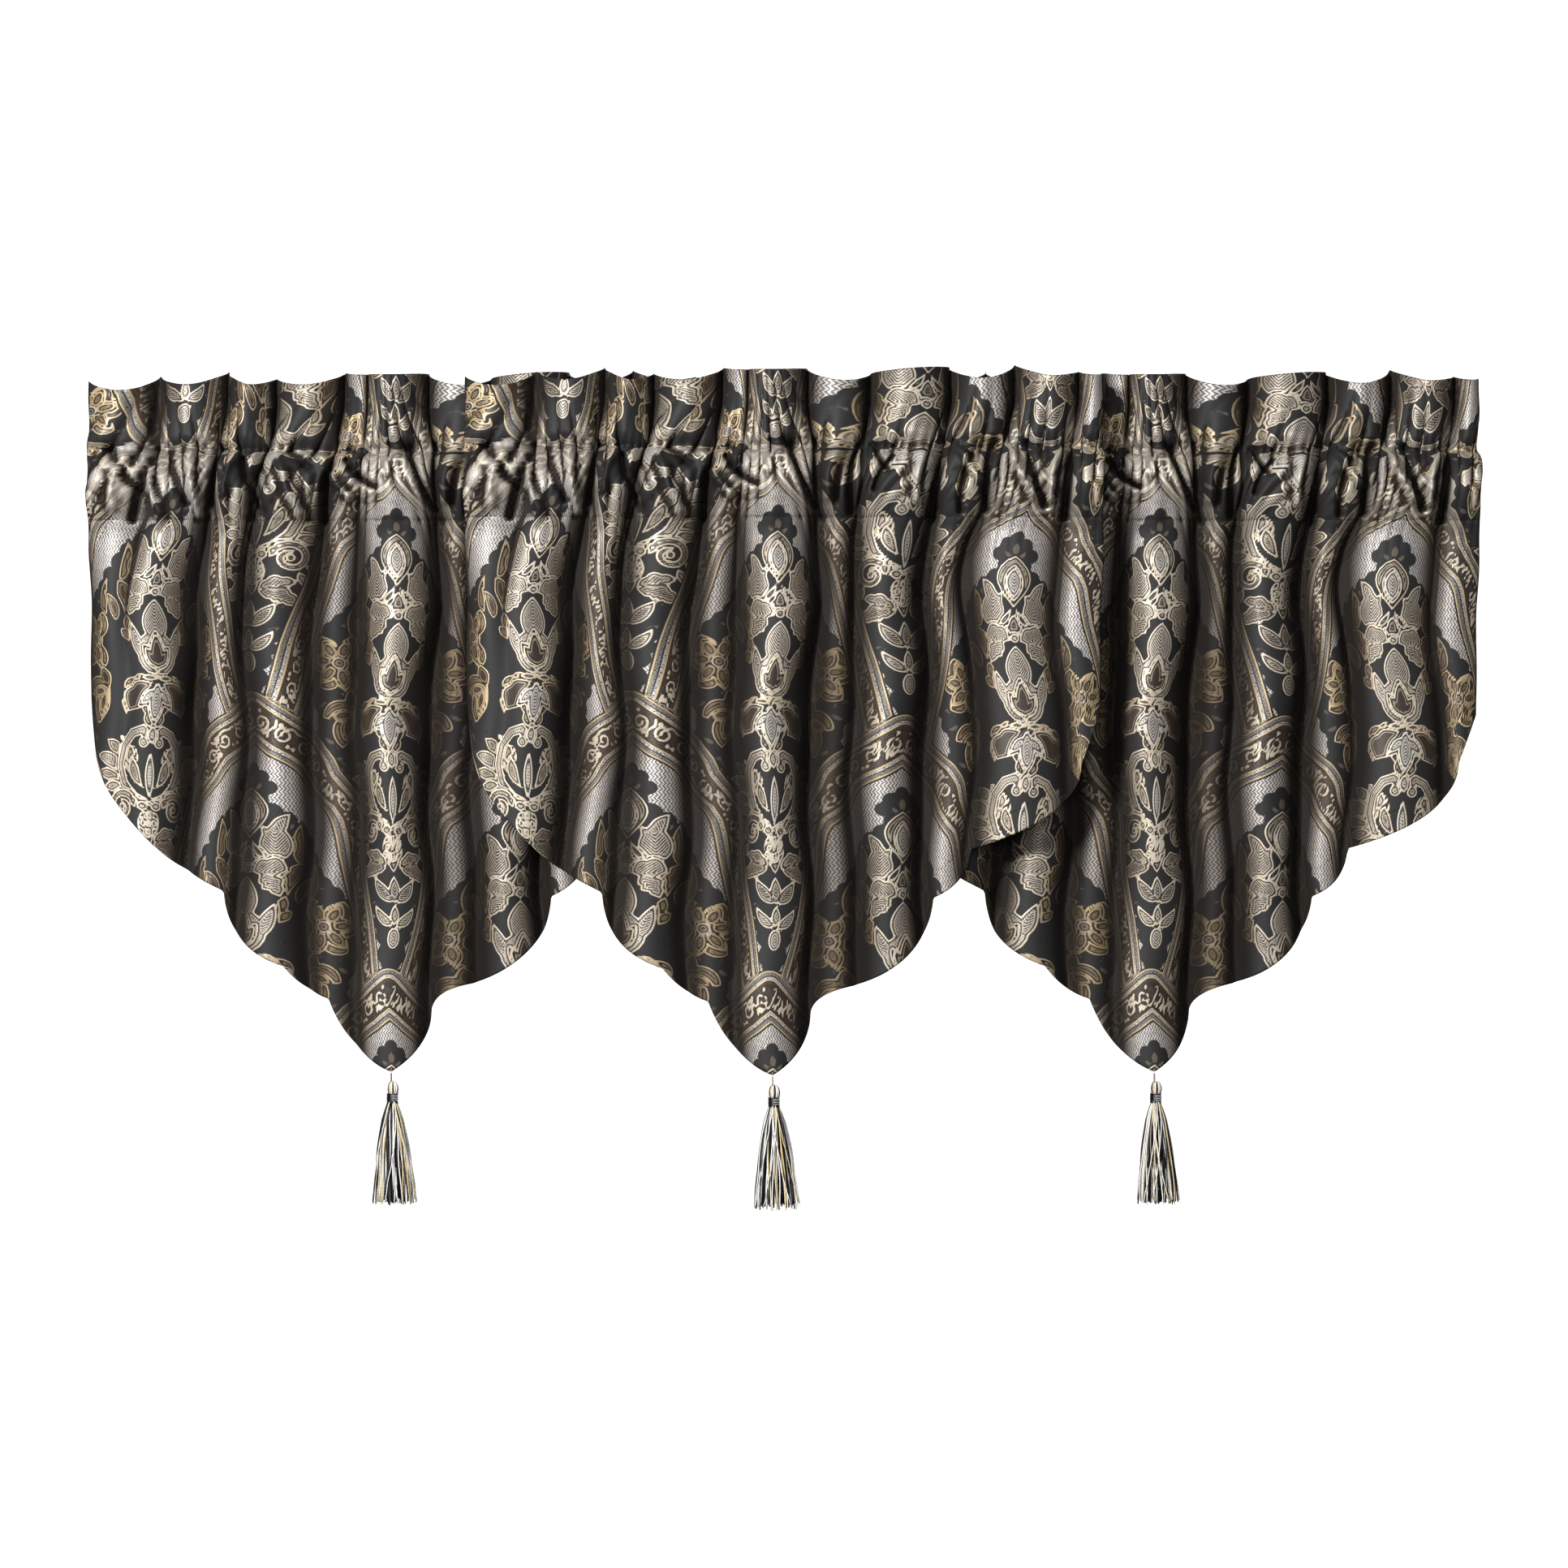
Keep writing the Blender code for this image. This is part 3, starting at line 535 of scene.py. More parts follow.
# The medallion's motifs on its right half and its axis, from the back to the front. Each group is
# one drawn shape made of overlapping leaves and discs. gilt is its share of gold thread, fill how
# closely it is filled with bright thread and dim how far its threads are bronze. Places are millimetres
# right of the axis and below the medallion's inner apex.
MOTIFS = (
    # side blossom: five pointed petals, their inner petals and the heart; the slender leaf above it
    dict(gilt=0.9, fill=0.2, dim=0.5, parts=[leaf((41, 120), (43, 84), 8, 5, 0.5)]),
    dict(gilt=1.0, fill=0.15, dim=0.0, parts=[
        leaf((55, 134), (48, 110), 16, -2, 0.6), leaf((55, 132), (67, 111), 16, 2, 0.6),
        leaf((54, 132), (78, 129), 17, 0, 0.6),
        leaf((55, 131), (70, 150), 16, 2, 0.6), leaf((55, 130), (50, 154), 16, 2, 0.6),
        disc((56, 131), 9)]),
    dict(gilt=1.0, fill=0.5, dim=0.45, parts=[
        leaf((56, 131), (51, 115), 7.5, 0, 0.6), leaf((56, 131), (65, 116), 7.5, 0, 0.6),
        leaf((56, 131), (73, 129), 7.5, 0, 0.6),
        leaf((56, 131), (67, 145), 7.5, 0, 0.6), leaf((56, 131), (52, 149), 7.5, 0, 0.6)]),
    dict(gilt=0.4, fill=0.0, dim=0.1, parts=[disc((56, 131), 4.6)]),
    # pointed leaf of three lobes under the blossom, with its inner leaf
    dict(gilt=1.0, fill=0.2, dim=0.0, parts=[
        leaf((42, 166), (49, 150), 12, 1, 0.5), leaf((42, 166), (66, 172), 17, -3, 0.5),
        leaf((42, 164), (53, 194), 17, -3, 0.5)]),
    dict(gilt=1.0, fill=0.6, dim=0.4, parts=[
        leaf((45, 168), (60, 172), 6.5, -1, 0.5), leaf((45, 168), (51, 186), 6.5, -1, 0.5)]),
    # slender leaves beside the tulips and the shoulders
    dict(gilt=0.9, fill=0.2, dim=0.6, parts=[leaf((33, 89.5), (31.5, 56), 9, -3, 0.45)]),
    dict(gilt=0.8, fill=0.3, dim=0.55, parts=[
        leaf((27, 112), (35, 86), 12.5, -4, 0.6), leaf((34, 117), (45, 96), 10, -3)]),
    # drooping wing leaves at the foot of the cup, and the small tufts beside it
    dict(gilt=0.7, fill=0.45, dim=0.25, parts=[leaf((3.5, 156), (27, 185), 18, -8, 0.5, 3)]),
    dict(gilt=0.8, fill=0.5, dim=0.5, parts=[
        leaf((17, 128), (25, 110), 9, 2, 0.6), leaf((19, 132), (30.5, 121), 8, 0, 0.6)]),
    # tulip leaves with a hooked tip and a pointed shoulder
    dict(gilt=0.4, fill=0.75, dim=0.0, parts=[
        leaf((18, 87), (15.5, 56), 20, 0, 0.42), leaf((17, 72), (25, 50), 10, -3, 0.5),
        leaf((16, 71), (8.5, 59.5), 8, 0)]),
    # star under the bud, with the long tips that reach between the tulips
    dict(gilt=0.3, fill=0.4, dim=0.0, parts=[
        leaf((1, 68.5), (13.5, 84.5), 5.5, 2, 0.6), leaf((0, 87), (16, 87), 9, 0, 0.2),
        leaf((0, 94), (0, 74.5), 10, 0, 0.5)]),
    # bud: a broad outline and a silver heart
    dict(gilt=0.45, fill=0.0, dim=0.0, parts=[leaf((0, 71), (0, 32), 27, 0, 0.56)]),
    dict(gilt=0.1, fill=0.9, dim=0.0, parts=[leaf((0, 64), (0, 40.5), 12, 0, 0.5)]),
    # rounded shoulder leaves of two lobes
    dict(gilt=0.45, fill=0.75, dim=0.0, parts=[
        leaf((3.5, 95), (25, 92), 17, -3, 0.55, 2), leaf((9, 95), (22.5, 112), 13.5, -2, 0.4, 3)]),
    dict(gilt=0.3, fill=0.9, dim=0.0, parts=[disc((0, 92.5), 4, 3.6)]),
    # the drop and the cup in one outline, and the dark flame in its heart
    dict(gilt=0.35, fill=0.8, dim=0.0, parts=[
        leaf((0, 134), (0, 97), 21.5, 0, 0.5), disc((0, 138), 17, 17), leaf((10, 144), (20, 115), 11, 1)]),
    dict(gilt=0.5, fill=0.0, dim=0.0, parts=[
        leaf((0, 150), (0, 122), 12.5, 0, 0.42), leaf((0, 148), (10, 133), 9, 0)]),
    dict(gilt=0.6, fill=0.9, dim=0.0, parts=[
        leaf((0, 156), (14.5, 156), 5.5, 0, 0.5), disc((0, 156), 4, 2.6)]),
    # pendant leaf of three lobes, with its silver heart
    dict(gilt=0.5, fill=0.05, dim=0.0, parts=[
        leaf((0, 156.5), (0, 196), 23.5, 0, 0.55, 3), leaf((3.5, 159), (25, 182.5), 20, -4, 0.6, 2)]),
    dict(gilt=0.05, fill=0.9, dim=0.0, parts=[
        leaf((0, 158), (0, 189), 12.5, 0, 0.5), leaf((1, 164), (14.5, 176.5), 8, 0)]),
    # acanthus fan: rounded fingers that arch outwards, every second one behind
    dict(gilt=0.55, fill=0.6, dim=0.1, parts=[
        leaf((8, 238), (19, 203), 9, -2, 0.72), leaf((10, 240), (42, 203), 11, -6, 0.72),
        leaf((12, 242), (47, 228), 10, -5, 0.7)]),
    dict(gilt=0.45, fill=0.75, dim=0.0, parts=[
        leaf((9, 239), (30, 199), 11, -5, 0.72), leaf((11, 241), (50, 215), 11, -7, 0.72),
        leaf((12, 243), (40, 239), 9, -4, 0.68)]),
    # palmette: a lyre of two broad curled arms round a silver stem and two leaves
    dict(gilt=0.4, fill=0.75, dim=0.0, parts=[
        stroke(((1, 247), (11, 243), (20, 234), (25, 221), (24, 207), (17, 197), (9, 194), (4, 199)), 6, 9.5),
        disc((6.5, 203), 4.6)]),
    dict(gilt=0.5, fill=0.6, dim=0.0, parts=[leaf((3, 238), (14, 214), 9, 3, 0.6)]),
    dict(gilt=0.2, fill=0.9, dim=0.0, parts=[leaf((0, 246), (0, 208), 8, 0, 0.5)]),
    dict(gilt=0.3, fill=0.9, dim=0.0, parts=[leaf((0, 205), (0, 190), 8, 0, 0.5)]),
    # volutes: a spiral with its eye and two curled tips
    dict(gilt=0.5, fill=0.9, dim=0.05, parts=[
        stroke(spiral((22, 251), 11.0, 3.4, -2.5, 1.2), 6.4, 4.4), disc((22, 251), 3.0),
        leaf((8, 252), (16, 242), 7, 0, 0.5),
        leaf((27, 260), (37, 270), 8, 2, 0.5), leaf((31, 255), (43, 258), 8, 2, 0.5)]),
    # seed bud with its bow
    dict(gilt=0.4, fill=0.1, dim=0.0, parts=[disc((0, 262), 9.5, 11), leaf((0, 263), (0, 281), 10, 0)]),
    dict(gilt=0.3, fill=0.95, dim=0.0, parts=[
        disc((0, 256), 2.5, 3), disc((4.5, 262), 2.5, 3), disc((0, 268), 2.5, 3.2)]),
    dict(gilt=0.4, fill=0.8, dim=0.0, parts=[disc((5.5, 249.5), 4.5, 3.8), disc((0, 247.5), 2.5)]),
    # side leaves and the pendant under the seed bud
    dict(gilt=0.45, fill=0.6, dim=0.1, parts=[
        leaf((4.5, 276), (28, 269), 11, -3, 0.5, 3), leaf((4.5, 277), (30.5, 286), 13.5, -3, 0.5, 3)]),
    dict(gilt=0.35, fill=0.6, dim=0.0, parts=[
        leaf((0, 302), (17, 284), 11, 2, 0.45), leaf((0, 303), (0, 282), 10, 0)]),
    # floret and little bud near the foot
    dict(gilt=0.4, fill=0.7, dim=0.0, parts=[
        leaf((0, 319), (17, 304), 9, 3), leaf((0, 319), (0, 303), 8, 0)]),
    dict(gilt=0.3, fill=0.8, dim=0.0, parts=[disc((0, 328.5), 5.5, 8)]),
)

# Faint sprigs woven on the black leaves round the medallion
SPRIGS = (
    ((0, 32), (0, 23), 3.4), ((2, 34), (8, 29), 3), ((20, 62), (27, 57), 3), ((18, 66), (31, 66), 3),
    ((40, 98), (48, 91), 3), ((42, 102), (56, 103), 3), ((60, 122), (66, 114), 3),
    ((64, 126), (74, 128), 3), ((66, 150), (75, 149), 3), ((64, 160), (71, 164), 3),
    ((56, 190), (64, 186), 3), ((54, 200), (64, 204), 3), ((46, 212), (56, 216), 3),
    ((36, 232), (45, 228), 3), ((32, 246), (40, 246), 3), ((28, 262), (34, 262), 3),
    ((22, 282), (28, 283), 3), ((14, 304), (20, 302), 3),
)

# Lobes of the black leaf silhouettes that lie on the silver ground: right of the axis, down, radius
LOBES = (
    (0, 20, 5.5), (7.5, 25, 5.5), (13, 32, 5), (0, 33, 9), (6, 40, 7), (0, 52, 16), (14, 50, 7),
    (22, 56, 7), (29, 64, 7), (18, 66, 14), (34, 73, 7.5), (28, 84, 14), (41, 84, 7), (36, 92, 9),
    (46, 94, 7.5), (53, 101, 7), (60, 108, 7), (50, 112, 12), (67, 117, 7), (72, 126, 7), (62, 130, 14),
    (46, 125, 18), (76, 137, 7), (66, 146, 14), (75, 150, 6.5), (70, 160, 7), (60, 164, 12), (64, 174, 7),
    (52, 180, 14), (66, 184, 5.5), (58, 192, 7), (63, 199, 5.5), (52, 202, 7), (45, 212, 9), (46, 226, 7),
    (38, 232, 10), (40, 244, 6.5), (30, 248, 10), (33, 260, 6), (26, 268, 10), (28, 280, 6), (20, 288, 9),
    (21, 300, 5.5), (13, 306, 9), (14, 318, 5), (8, 326, 8), (5, 340, 8), (0, 316, 10), (0, 330, 10),
    (0, 345, 9), (0, 358, 8), (0, 80, 30), (0, 110, 36), (12, 140, 42), (14, 176, 42), (10, 206, 36),
    (4, 232, 30), (0, 262, 26), (0, 290, 20),
)


# What a medallion's fields hold where nothing is drawn: motif, vein, gilt, fill, dim, sprig and ground
EMPTY_FIELDS = (-9.0, 0.0, 0.5, 0.5, 0.0, -9.0, 9.0)
# Width of the dark line round each drawn shape, and how far round a shape its distances are worked out
DARK_LINE = 1.3
MOTIF_REACH = 7
SPRIG_REACH = 22


def overlaid(field, shape):
    """One drawn shape laid on those before it, with a dark line all round."""
    return np.maximum(np.minimum(field, -shape - DARK_LINE), shape)


def medallion(p, q):
    """Fields of one medallion at flat places p, q: motif, vein, gilt, fill, dim, sprig and ground."""
    right = np.abs(p)
    motif, vein, gilt, fill, dim, sprig, ground = (np.full(p.shape, value) for value in EMPTY_FIELDS)
    for row in MOTIFS:
        shape = np.full(p.shape, -9.0)
        flow = np.zeros(p.shape)
        for part in row["parts"]:
            xs = [a for a, _ in part["outline"]]
            ys = [b for _, b in part["outline"]]
            near = (right > min(xs) - MOTIF_REACH) & (right < max(xs) + MOTIF_REACH)
            near &= (q > min(ys) - MOTIF_REACH) & (q < max(ys) + MOTIF_REACH)
            if not near.any():
                continue
            found = polygon_distance(right[near], q[near], part["outline"])
            (ax, ay), (bx, by) = part["base"], part["tip"]
            dx, dy = bx - ax, by - ay
            size = math.hypot(dx, dy)
            along = ((right[near] - ax) * dx + (q[near] - ay) * dy) / size
            across = np.abs((right[near] - ax) * dy - (q[near] - ay) * dx) / size
            held = shape[near]
            flow[near] = np.where(found > held, along - 1.3 * across, flow[near])
            shape[near] = np.maximum(held, found)
        shape = shape - 0.5
        motif = overlaid(motif, shape)
        taken = shape > -0.4
        vein = np.where(taken, flow, vein)
        gilt = np.where(taken, row["gilt"], gilt)
        fill = np.where(taken, row["fill"], fill)
        dim = np.where(taken, row["dim"], dim)
    for base, tip, width in SPRIGS:
        near = (np.abs(right - base[0]) < SPRIG_REACH) & (np.abs(q - base[1]) < SPRIG_REACH)
        if near.any():
            shape = polygon_distance(right[near], q[near], leaf_outline(base, tip, width, 1.0, 0.45, 0, 5))
            stem = bent_line((base[0] - 2, base[1] + 6), base, 1.0, 3)
            line = 0.45 - polyline_distance(right[near], q[near], stem)[0]
            sprig[near] = np.maximum(sprig[near], np.maximum(shape, line))
    for a, b, radius in LOBES:
        ground = np.minimum(ground, np.hypot(right - a, q - b) - radius)
    return motif, vein, gilt, fill, dim, sprig, ground


def scroll_lines(samples=16):
    """One repeat of the strap band's scrollwork, in millimetres along and across the band."""
    curl = [(-17.5, -5.5), (-13.0, -7.0)]
    for number in range(samples + 1):
        t = number / samples
        angle = -1.57 + t * 1.35 * 2 * math.pi
        radius = 6.3 * (1 - 0.72 * t)
        curl.append((-8.5 + radius * math.cos(angle), -0.8 + radius * math.sin(angle)))
    link = [(-1.5, 7.0), (0.8, 3.0), (0.0, 0.0)]
    return [[(x * flip, y * flip) for x, y in line] for flip in (1, -1) for line in (curl, link)]


SCROLL_DOTS = ((-14.5, 5.4), (14.5, -5.4), (-2.6, -5.8), (2.6, 5.8))


def band_fields(p, q):
    """Strap band fields over the whole tile: distance in from its edges and to its scrolls."""
    edge = np.full(p.shape, -60.0)
    scroll = np.full(p.shape, 9.0)
    rank_held = np.zeros(p.shape)
    template = scroll_lines()
    total = sum(math.dist(a, b) for a, b in zip(BAND_LINE[:-1], BAND_LINE[1:]))
    period = total / 7
    head = 62.0
    for column in (-2, -1, 0, 1, 2):
        for level in (-1, 0, 1):
            a = p - column * REPEAT_WIDE / 2
            b = q - (column % 2) * REPEAT_HIGH / 2 - level * REPEAT_HIGH
            near = (np.abs(a) < 130) & (b > -60) & (b < 215)
            if not near.any():
                continue
            d, s, side = polyline_distance(np.abs(a[near]), b[near], BAND_LINE)
            half = np.interp(s, (head - 6, head + 26), (BAND_HALF, BAND_WAIST))
            inner = half - d
            rank = np.where(s < head, 100.0, 0.0)
            held = edge[near]
            held_rank = rank_held[near]
            over = (inner > -1.2) & (rank > held_rank)
            better = over | (rank == held_rank) & (inner > held) | (held < -1.2) & (inner > held)
            edge[near] = np.where(better, inner, held)
            rank_held[near] = np.where(better & (inner > -1.2), rank, held_rank)
            local = np.mod(s, period) - period / 2
            flip = np.where(np.mod(np.floor(s / period), 2) > 0, -1.0, 1.0)
            across = flip * side * d * (BAND_HALF - 7.5) / (half - 7.5)
            lines = np.min([polyline_distance(local, across, points)[0] for points in template], axis=0)
            dots = np.min([np.hypot(local - x, across - y) - 0.7 for x, y in SCROLL_DOTS], axis=0)
            scroll[near] = np.where(better, np.minimum(lines, dots), scroll[near])
    return edge, scroll


def damask(u, v):
    """Every woven field at flat places u, v in metres, as arrays of the same shape."""
    across = u.ravel() / MM
    down = v.ravel() / MM - PATTERN_TOP - GRAIN_DROP * across
    half = REPEAT_WIDE / 2
    nearest = np.round(across / half)
    # centre line of the strap band round one medallion
    outline_x = [a for a, _ in BAND_LINE] + [half - a for a, _ in BAND_LINE]
    outline_q = [b for _, b in BAND_LINE] + [b + REPEAT_HIGH / 2 for _, b in BAND_LINE]
    fields = EMPTY_FIELDS
    for shift in (-1, 0, 1):
        column = nearest + shift
        p = across - column * half
        q = np.mod(down - np.mod(column, 2) * REPEAT_HIGH / 2 + 20, REPEAT_HIGH) - 20
        own = np.abs(p) < np.interp(q, outline_q, outline_x, left=-1, right=-1)
        fields = [np.where(own, value, held) for value, held in zip(medallion(p, q), fields)]
    whole_p = np.mod(across + half, REPEAT_WIDE) - half
    whole_q = np.mod(down, REPEAT_HIGH)
    edge, scroll = band_fields(whole_p, whole_q)
    motif, vein, gilt, fill, dim, sprig, ground = fields
    woven = dict(
        motif=np.clip(motif, -6, 6), vein=vein, gilt=gilt, fill=fill, dim=dim,
        sprig=np.clip(sprig, -4, 4), ground=np.clip(ground, -6, 6),
        band=np.clip(edge, -8, 17), scroll=np.clip(scroll, 0, 8),
    )
    return {name: field.reshape(u.shape) for name, field in woven.items()}


# Materials

class Graph:
    """Short names for building a material's nodes."""

    def __init__(self, name):
        self.material = bpy.data.materials.new(name)
        self.material.use_nodes = True
        self.tree = self.material.node_tree
        self.shader = self.tree.nodes["Principled BSDF"]

    def node(self, kind, **settings):
        made = self.tree.nodes.new(kind)
        for key, value in settings.items():
            setattr(made, key, value)
        return made

    def put(self, socket, value):
        if isinstance(value, bpy.types.NodeSocket):
            self.tree.links.new(value, socket)
        else:
            socket.default_value = value

    def math(self, operation, a, b=0.0):
        made = self.node("ShaderNodeMath", operation=operation)
        for socket, value in zip(made.inputs, (a, b)):
            self.put(socket, value)
        return made.outputs[0]

    def times(self, a, b):
        return self.math("MULTIPLY", a, b)

    def plus(self, a, b):
        return self.math("ADD", a, b)

    def rest(self, share):
        """What is left of 1."""
        return self.math("SUBTRACT", 1.0, share)

    def wave(self, place, pitch):
        """A sine that repeats at every pitch."""
        return self.math("SINE", self.times(place, 2 * math.pi / pitch))

    def step(self, value, low, high):
        """0 below low, 1 above high and smooth between them."""
        made = self.node("ShaderNodeMapRange", interpolation_type="SMOOTHSTEP")
        for socket, item in zip(made.inputs, (value, low, high, 0.0, 1.0)):
            self.put(socket, item)
        return made.outputs[0]

    def between(self, value, low, high, soft):
        """1 where value lies between low and high."""
        return self.times(self.step(value, low - soft, low + soft),
                          self.rest(self.step(value, high - soft, high + soft)))

    def blend(self, share, a, b):
        made = self.node("ShaderNodeMix", data_type="RGBA")
        self.put(made.inputs[0], share)
        self.put(made.inputs[6], a)
        self.put(made.inputs[7], b)
        return made.outputs[2]

    def lerp(self, share, a, b):
        made = self.node("ShaderNodeMix", data_type="FLOAT")
        self.put(made.inputs[0], share)
        self.put(made.inputs[2], a)
        self.put(made.inputs[3], b)
        return made.outputs[0]

    def attribute(self, name):
        return self.node("ShaderNodeAttribute", attribute_name=name)

    def parts(self, name):
        made = self.node("ShaderNodeSeparateXYZ")
        self.put(made.inputs[0], self.attribute(name).outputs["Vector"])
        return made.outputs

    def noise(self, vector, scale, detail=2.0, roughness=0.5):
        made = self.node("ShaderNodeTexNoise")
        self.put(made.inputs["Vector"], vector)
        made.inputs["Scale"].default_value = scale
        made.inputs["Detail"].default_value = detail
        made.inputs["Roughness"].default_value = roughness
        return made.outputs["Fac"]

    def relief(self, height, strength, distance):
        bump = self.node("ShaderNodeBump")
        bump.inputs["Strength"].default_value = strength
        bump.inputs["Distance"].default_value = distance
        self.put(bump.inputs["Height"], height)
        self.put(self.shader.inputs["Normal"], bump.outputs[0])


def rgb(*values):
    """A colour given as it looks, 0 to 255, turned into scene-linear values."""
    linear = [(v / 255 / 12.92) if v <= 10.3 else ((v / 255 + 0.055) / 1.055) ** 2.4 for v in values]
    return (*linear, 1.0)


BLACK = rgb(40, 39, 39)
BRONZE = rgb(78, 67, 57)
SILVER = rgb(208, 202, 194)
SILVER_DEEP = rgb(62, 57, 55)
GOLD = rgb(198, 174, 134)
GOLD_DEEP = rgb(58, 49, 39)
GREY = rgb(138, 132, 126)
SATIN_DARK = rgb(102, 97, 94)
SATIN_LIGHT = rgb(206, 200, 195)
SPRIG = rgb(118, 106, 92)
SILVER_OUTLINE = rgb(208, 201, 190)
GOLD_OUTLINE = rgb(200, 177, 138)
DIM_OUTLINE = rgb(120, 96, 68)
DIM_FILLING = rgb(66, 54, 42)
STITCH_SHADOW = rgb(16, 15, 15)
# painted highlight for the gathers' crests, and painted shade: bronze, then near black, where the cloth turns
# into its folds
CREST_LIGHT = rgb(250, 243, 232)
PAINTED_FLANK_BRONZE = rgb(98, 80, 63)
FOLD_SHADE = rgb(26, 21, 17)
# Pitches of the satin's zigzag lines, the filling's threads and the stitches, in millimetres
SATIN_PITCH = 2.3
THREAD_PITCH = 2.4
STITCH_PITCH = 3.2


def cloth_material(name):
    """The damask: black ground, silver zigzag satin, and motifs and straps in silver and gold, with painted
    shade in the folds and a painted highlight on the gathers' crests.
    """
    g = Graph(name)
    motif, vein, gilt = g.parts("weave_a")
    sprig, ground, band = g.parts("weave_b")
    scroll, stitch, along = g.parts("weave_c")
    # away is the painted shade of the folds, 0 to 1, worked out from their shape
    fill, away, dim = g.parts("weave_and_shade_d")
    # crest is the painted highlight on the gathers' crests
    crest = g.parts("painted_crest_highlight")[0]
    flat = g.attribute("flat")
    spread = g.node("ShaderNodeSeparateXYZ")
    g.put(spread.inputs[0], flat.outputs["Vector"])
    u, v = spread.outputs[0], spread.outputs[1]
    # fine irregularity of the yarns
    grain = g.noise(flat.outputs["Vector"], 0.9, 3.0, 0.65)
    stretched = g.node("ShaderNodeMapping")
    stretched.inputs["Scale"].default_value = (0.55, 1.6, 1.0)
    g.put(stretched.inputs["Vector"], flat.outputs["Vector"])
    fleck = g.noise(stretched.outputs[0], 1.1, 2.0, 0.6)
    # silver satin: near vertical zigzag lines
    zigzag = g.math("PINGPONG", v, 2.15)
    lean = g.plus(g.times(zigzag, 0.85), g.times(grain, 2.2))
    satin = g.wave(g.plus(u, lean), SATIN_PITCH)
    satin = g.step(satin, -0.75, 0.9)
    silver_ground = g.blend(satin, SATIN_DARK, SATIN_LIGHT)
    # black or silver ground
    on_silver = g.step(ground, -0.35, 0.35)
    colour = g.blend(on_silver, BLACK, silver_ground)
    # faint sprigs on the black
    sprig_on = g.times(g.step(sprig, -0.3, 0.4), g.rest(on_silver))
    colour = g.blend(g.times(sprig_on, 0.6), colour, SPRIG)
    # motifs: a dark line all round, a bright outline, a fine dark line, then a stippled filling
    outline_thread = g.blend(gilt, SILVER_OUTLINE, GOLD_OUTLINE)
    thread = g.blend(gilt, SILVER, GOLD)
    deep = g.blend(gilt, SILVER_DEEP, GOLD_DEEP)
    veins = g.wave(g.plus(vein, g.times(grain, 1.6)), THREAD_PITCH)
    speckle = g.times(g.math("SUBTRACT", fleck, 0.5), 4.0)
    weight = g.times(g.math("SUBTRACT", fill, 0.84), 2.6)
    filling = g.step(g.plus(g.plus(veins, speckle), weight), -0.9, 0.9)
    inside = g.blend(filling, deep, g.blend(0.4, thread, GREY))
    edge_line = g.between(motif, -0.1, 0.8, 0.2)
    dark_line = g.between(motif, 1.05, 1.75, 0.2)
    second_line = g.between(motif, 1.9, 2.6, 0.25)
    bright_edge = g.blend(g.times(dim, 0.9), outline_thread, DIM_OUTLINE)
    inside = g.blend(dim, inside, DIM_FILLING)
    colour = g.blend(g.step(motif, -1.9, -1.3), colour, BLACK)
    colour = g.blend(g.step(motif, -0.3, 0.0), colour, inside)
    colour = g.blend(g.times(dark_line, 0.85), colour, BLACK)
    colour = g.blend(edge_line, colour, bright_edge)
    colour = g.blend(g.times(second_line, 0.45), colour, bright_edge)
    # strap band: two ribbons and scrolls on a bronze ground
    in_band = g.step(band, -0.3, 0.1)
    colour = g.blend(g.step(band, -1.4, -1.0), colour, BLACK)
    ribs = g.step(fleck, 0.35, 0.62)
    bronze = g.blend(ribs, BLACK, BRONZE)
    strap = g.blend(g.between(band, 1.1, 6.0, 0.2), bronze, g.blend(ribs, SILVER_DEEP, GREY))
    strap = g.blend(g.between(band, 3.5, 4.2, 0.2), strap, BLACK)
    strap = g.blend(g.between(band, 4.3, 6.0, 0.2), strap, g.blend(ribs, GOLD_DEEP, SILVER))
    gold_lines = g.plus(g.between(band, 0.1, 1.0, 0.2), g.between(band, 6.1, 7.0, 0.2))
    strap = g.blend(gold_lines, strap, GOLD)
    inner_band = g.step(band, 7.4, 7.8)
    curl = g.times(g.rest(g.step(scroll, 0.65, 1.05)), inner_band)
    halo = g.times(g.rest(g.step(scroll, 1.6, 2.1)), inner_band)
    strap = g.blend(g.times(halo, 0.6), strap, BLACK)
    strap = g.blend(curl, strap, g.blend(fleck, SILVER, GOLD))
    colour = g.blend(in_band, colour, strap)
    # yarn flecks over everything, then the stitch lines
    colour = g.blend(g.times(g.step(fleck, 0.58, 0.8), 0.18), colour, BLACK)
    dashes = g.step(g.wave(along, STITCH_PITCH), -0.3, 0.1)
    seam = g.times(g.rest(g.step(g.math("ABSOLUTE", stitch), 0.3, 0.7)), dashes)
    colour = g.blend(g.times(seam, 0.65), colour, STITCH_SHADOW)
    # painted highlight: bright threads on the gathers' crests are painted lighter
    bright = g.math("MAXIMUM", g.math("MAXIMUM", g.step(motif, -0.2, 0.1), in_band), on_silver)
    lit = g.times(g.times(crest, bright), 0.43)
    colour = g.blend(lit, colour, CREST_LIGHT)
    # painted shade: the satin is painted bronze where the cloth begins to turn away from the light, then near
    # black in the folds
    painted_bronze = g.times(g.times(g.step(away, 0.02, 0.5), bright), 0.4)
    colour = g.blend(painted_bronze, colour, PAINTED_FLANK_BRONZE)
    colour = g.blend(g.times(g.step(away, 0.08, 0.85), 0.94), colour, FOLD_SHADE)
    g.put(g.shader.inputs["Base Color"], colour)
    # lustre: bright threads reflect like satin, the black ground is matt
    bright = g.times(bright, g.rest(seam))
    shaded = g.step(away, 0.1, 0.8)
    g.put(g.shader.inputs["Metallic"], g.lerp(g.times(bright, g.rest(shaded)), 0.0, 0.28))
    g.put(g.shader.inputs["Roughness"], g.lerp(shaded, g.lerp(bright, 0.6, 0.44), 0.95))
    g.shader.inputs["Specular IOR Level"].default_value = 0.28
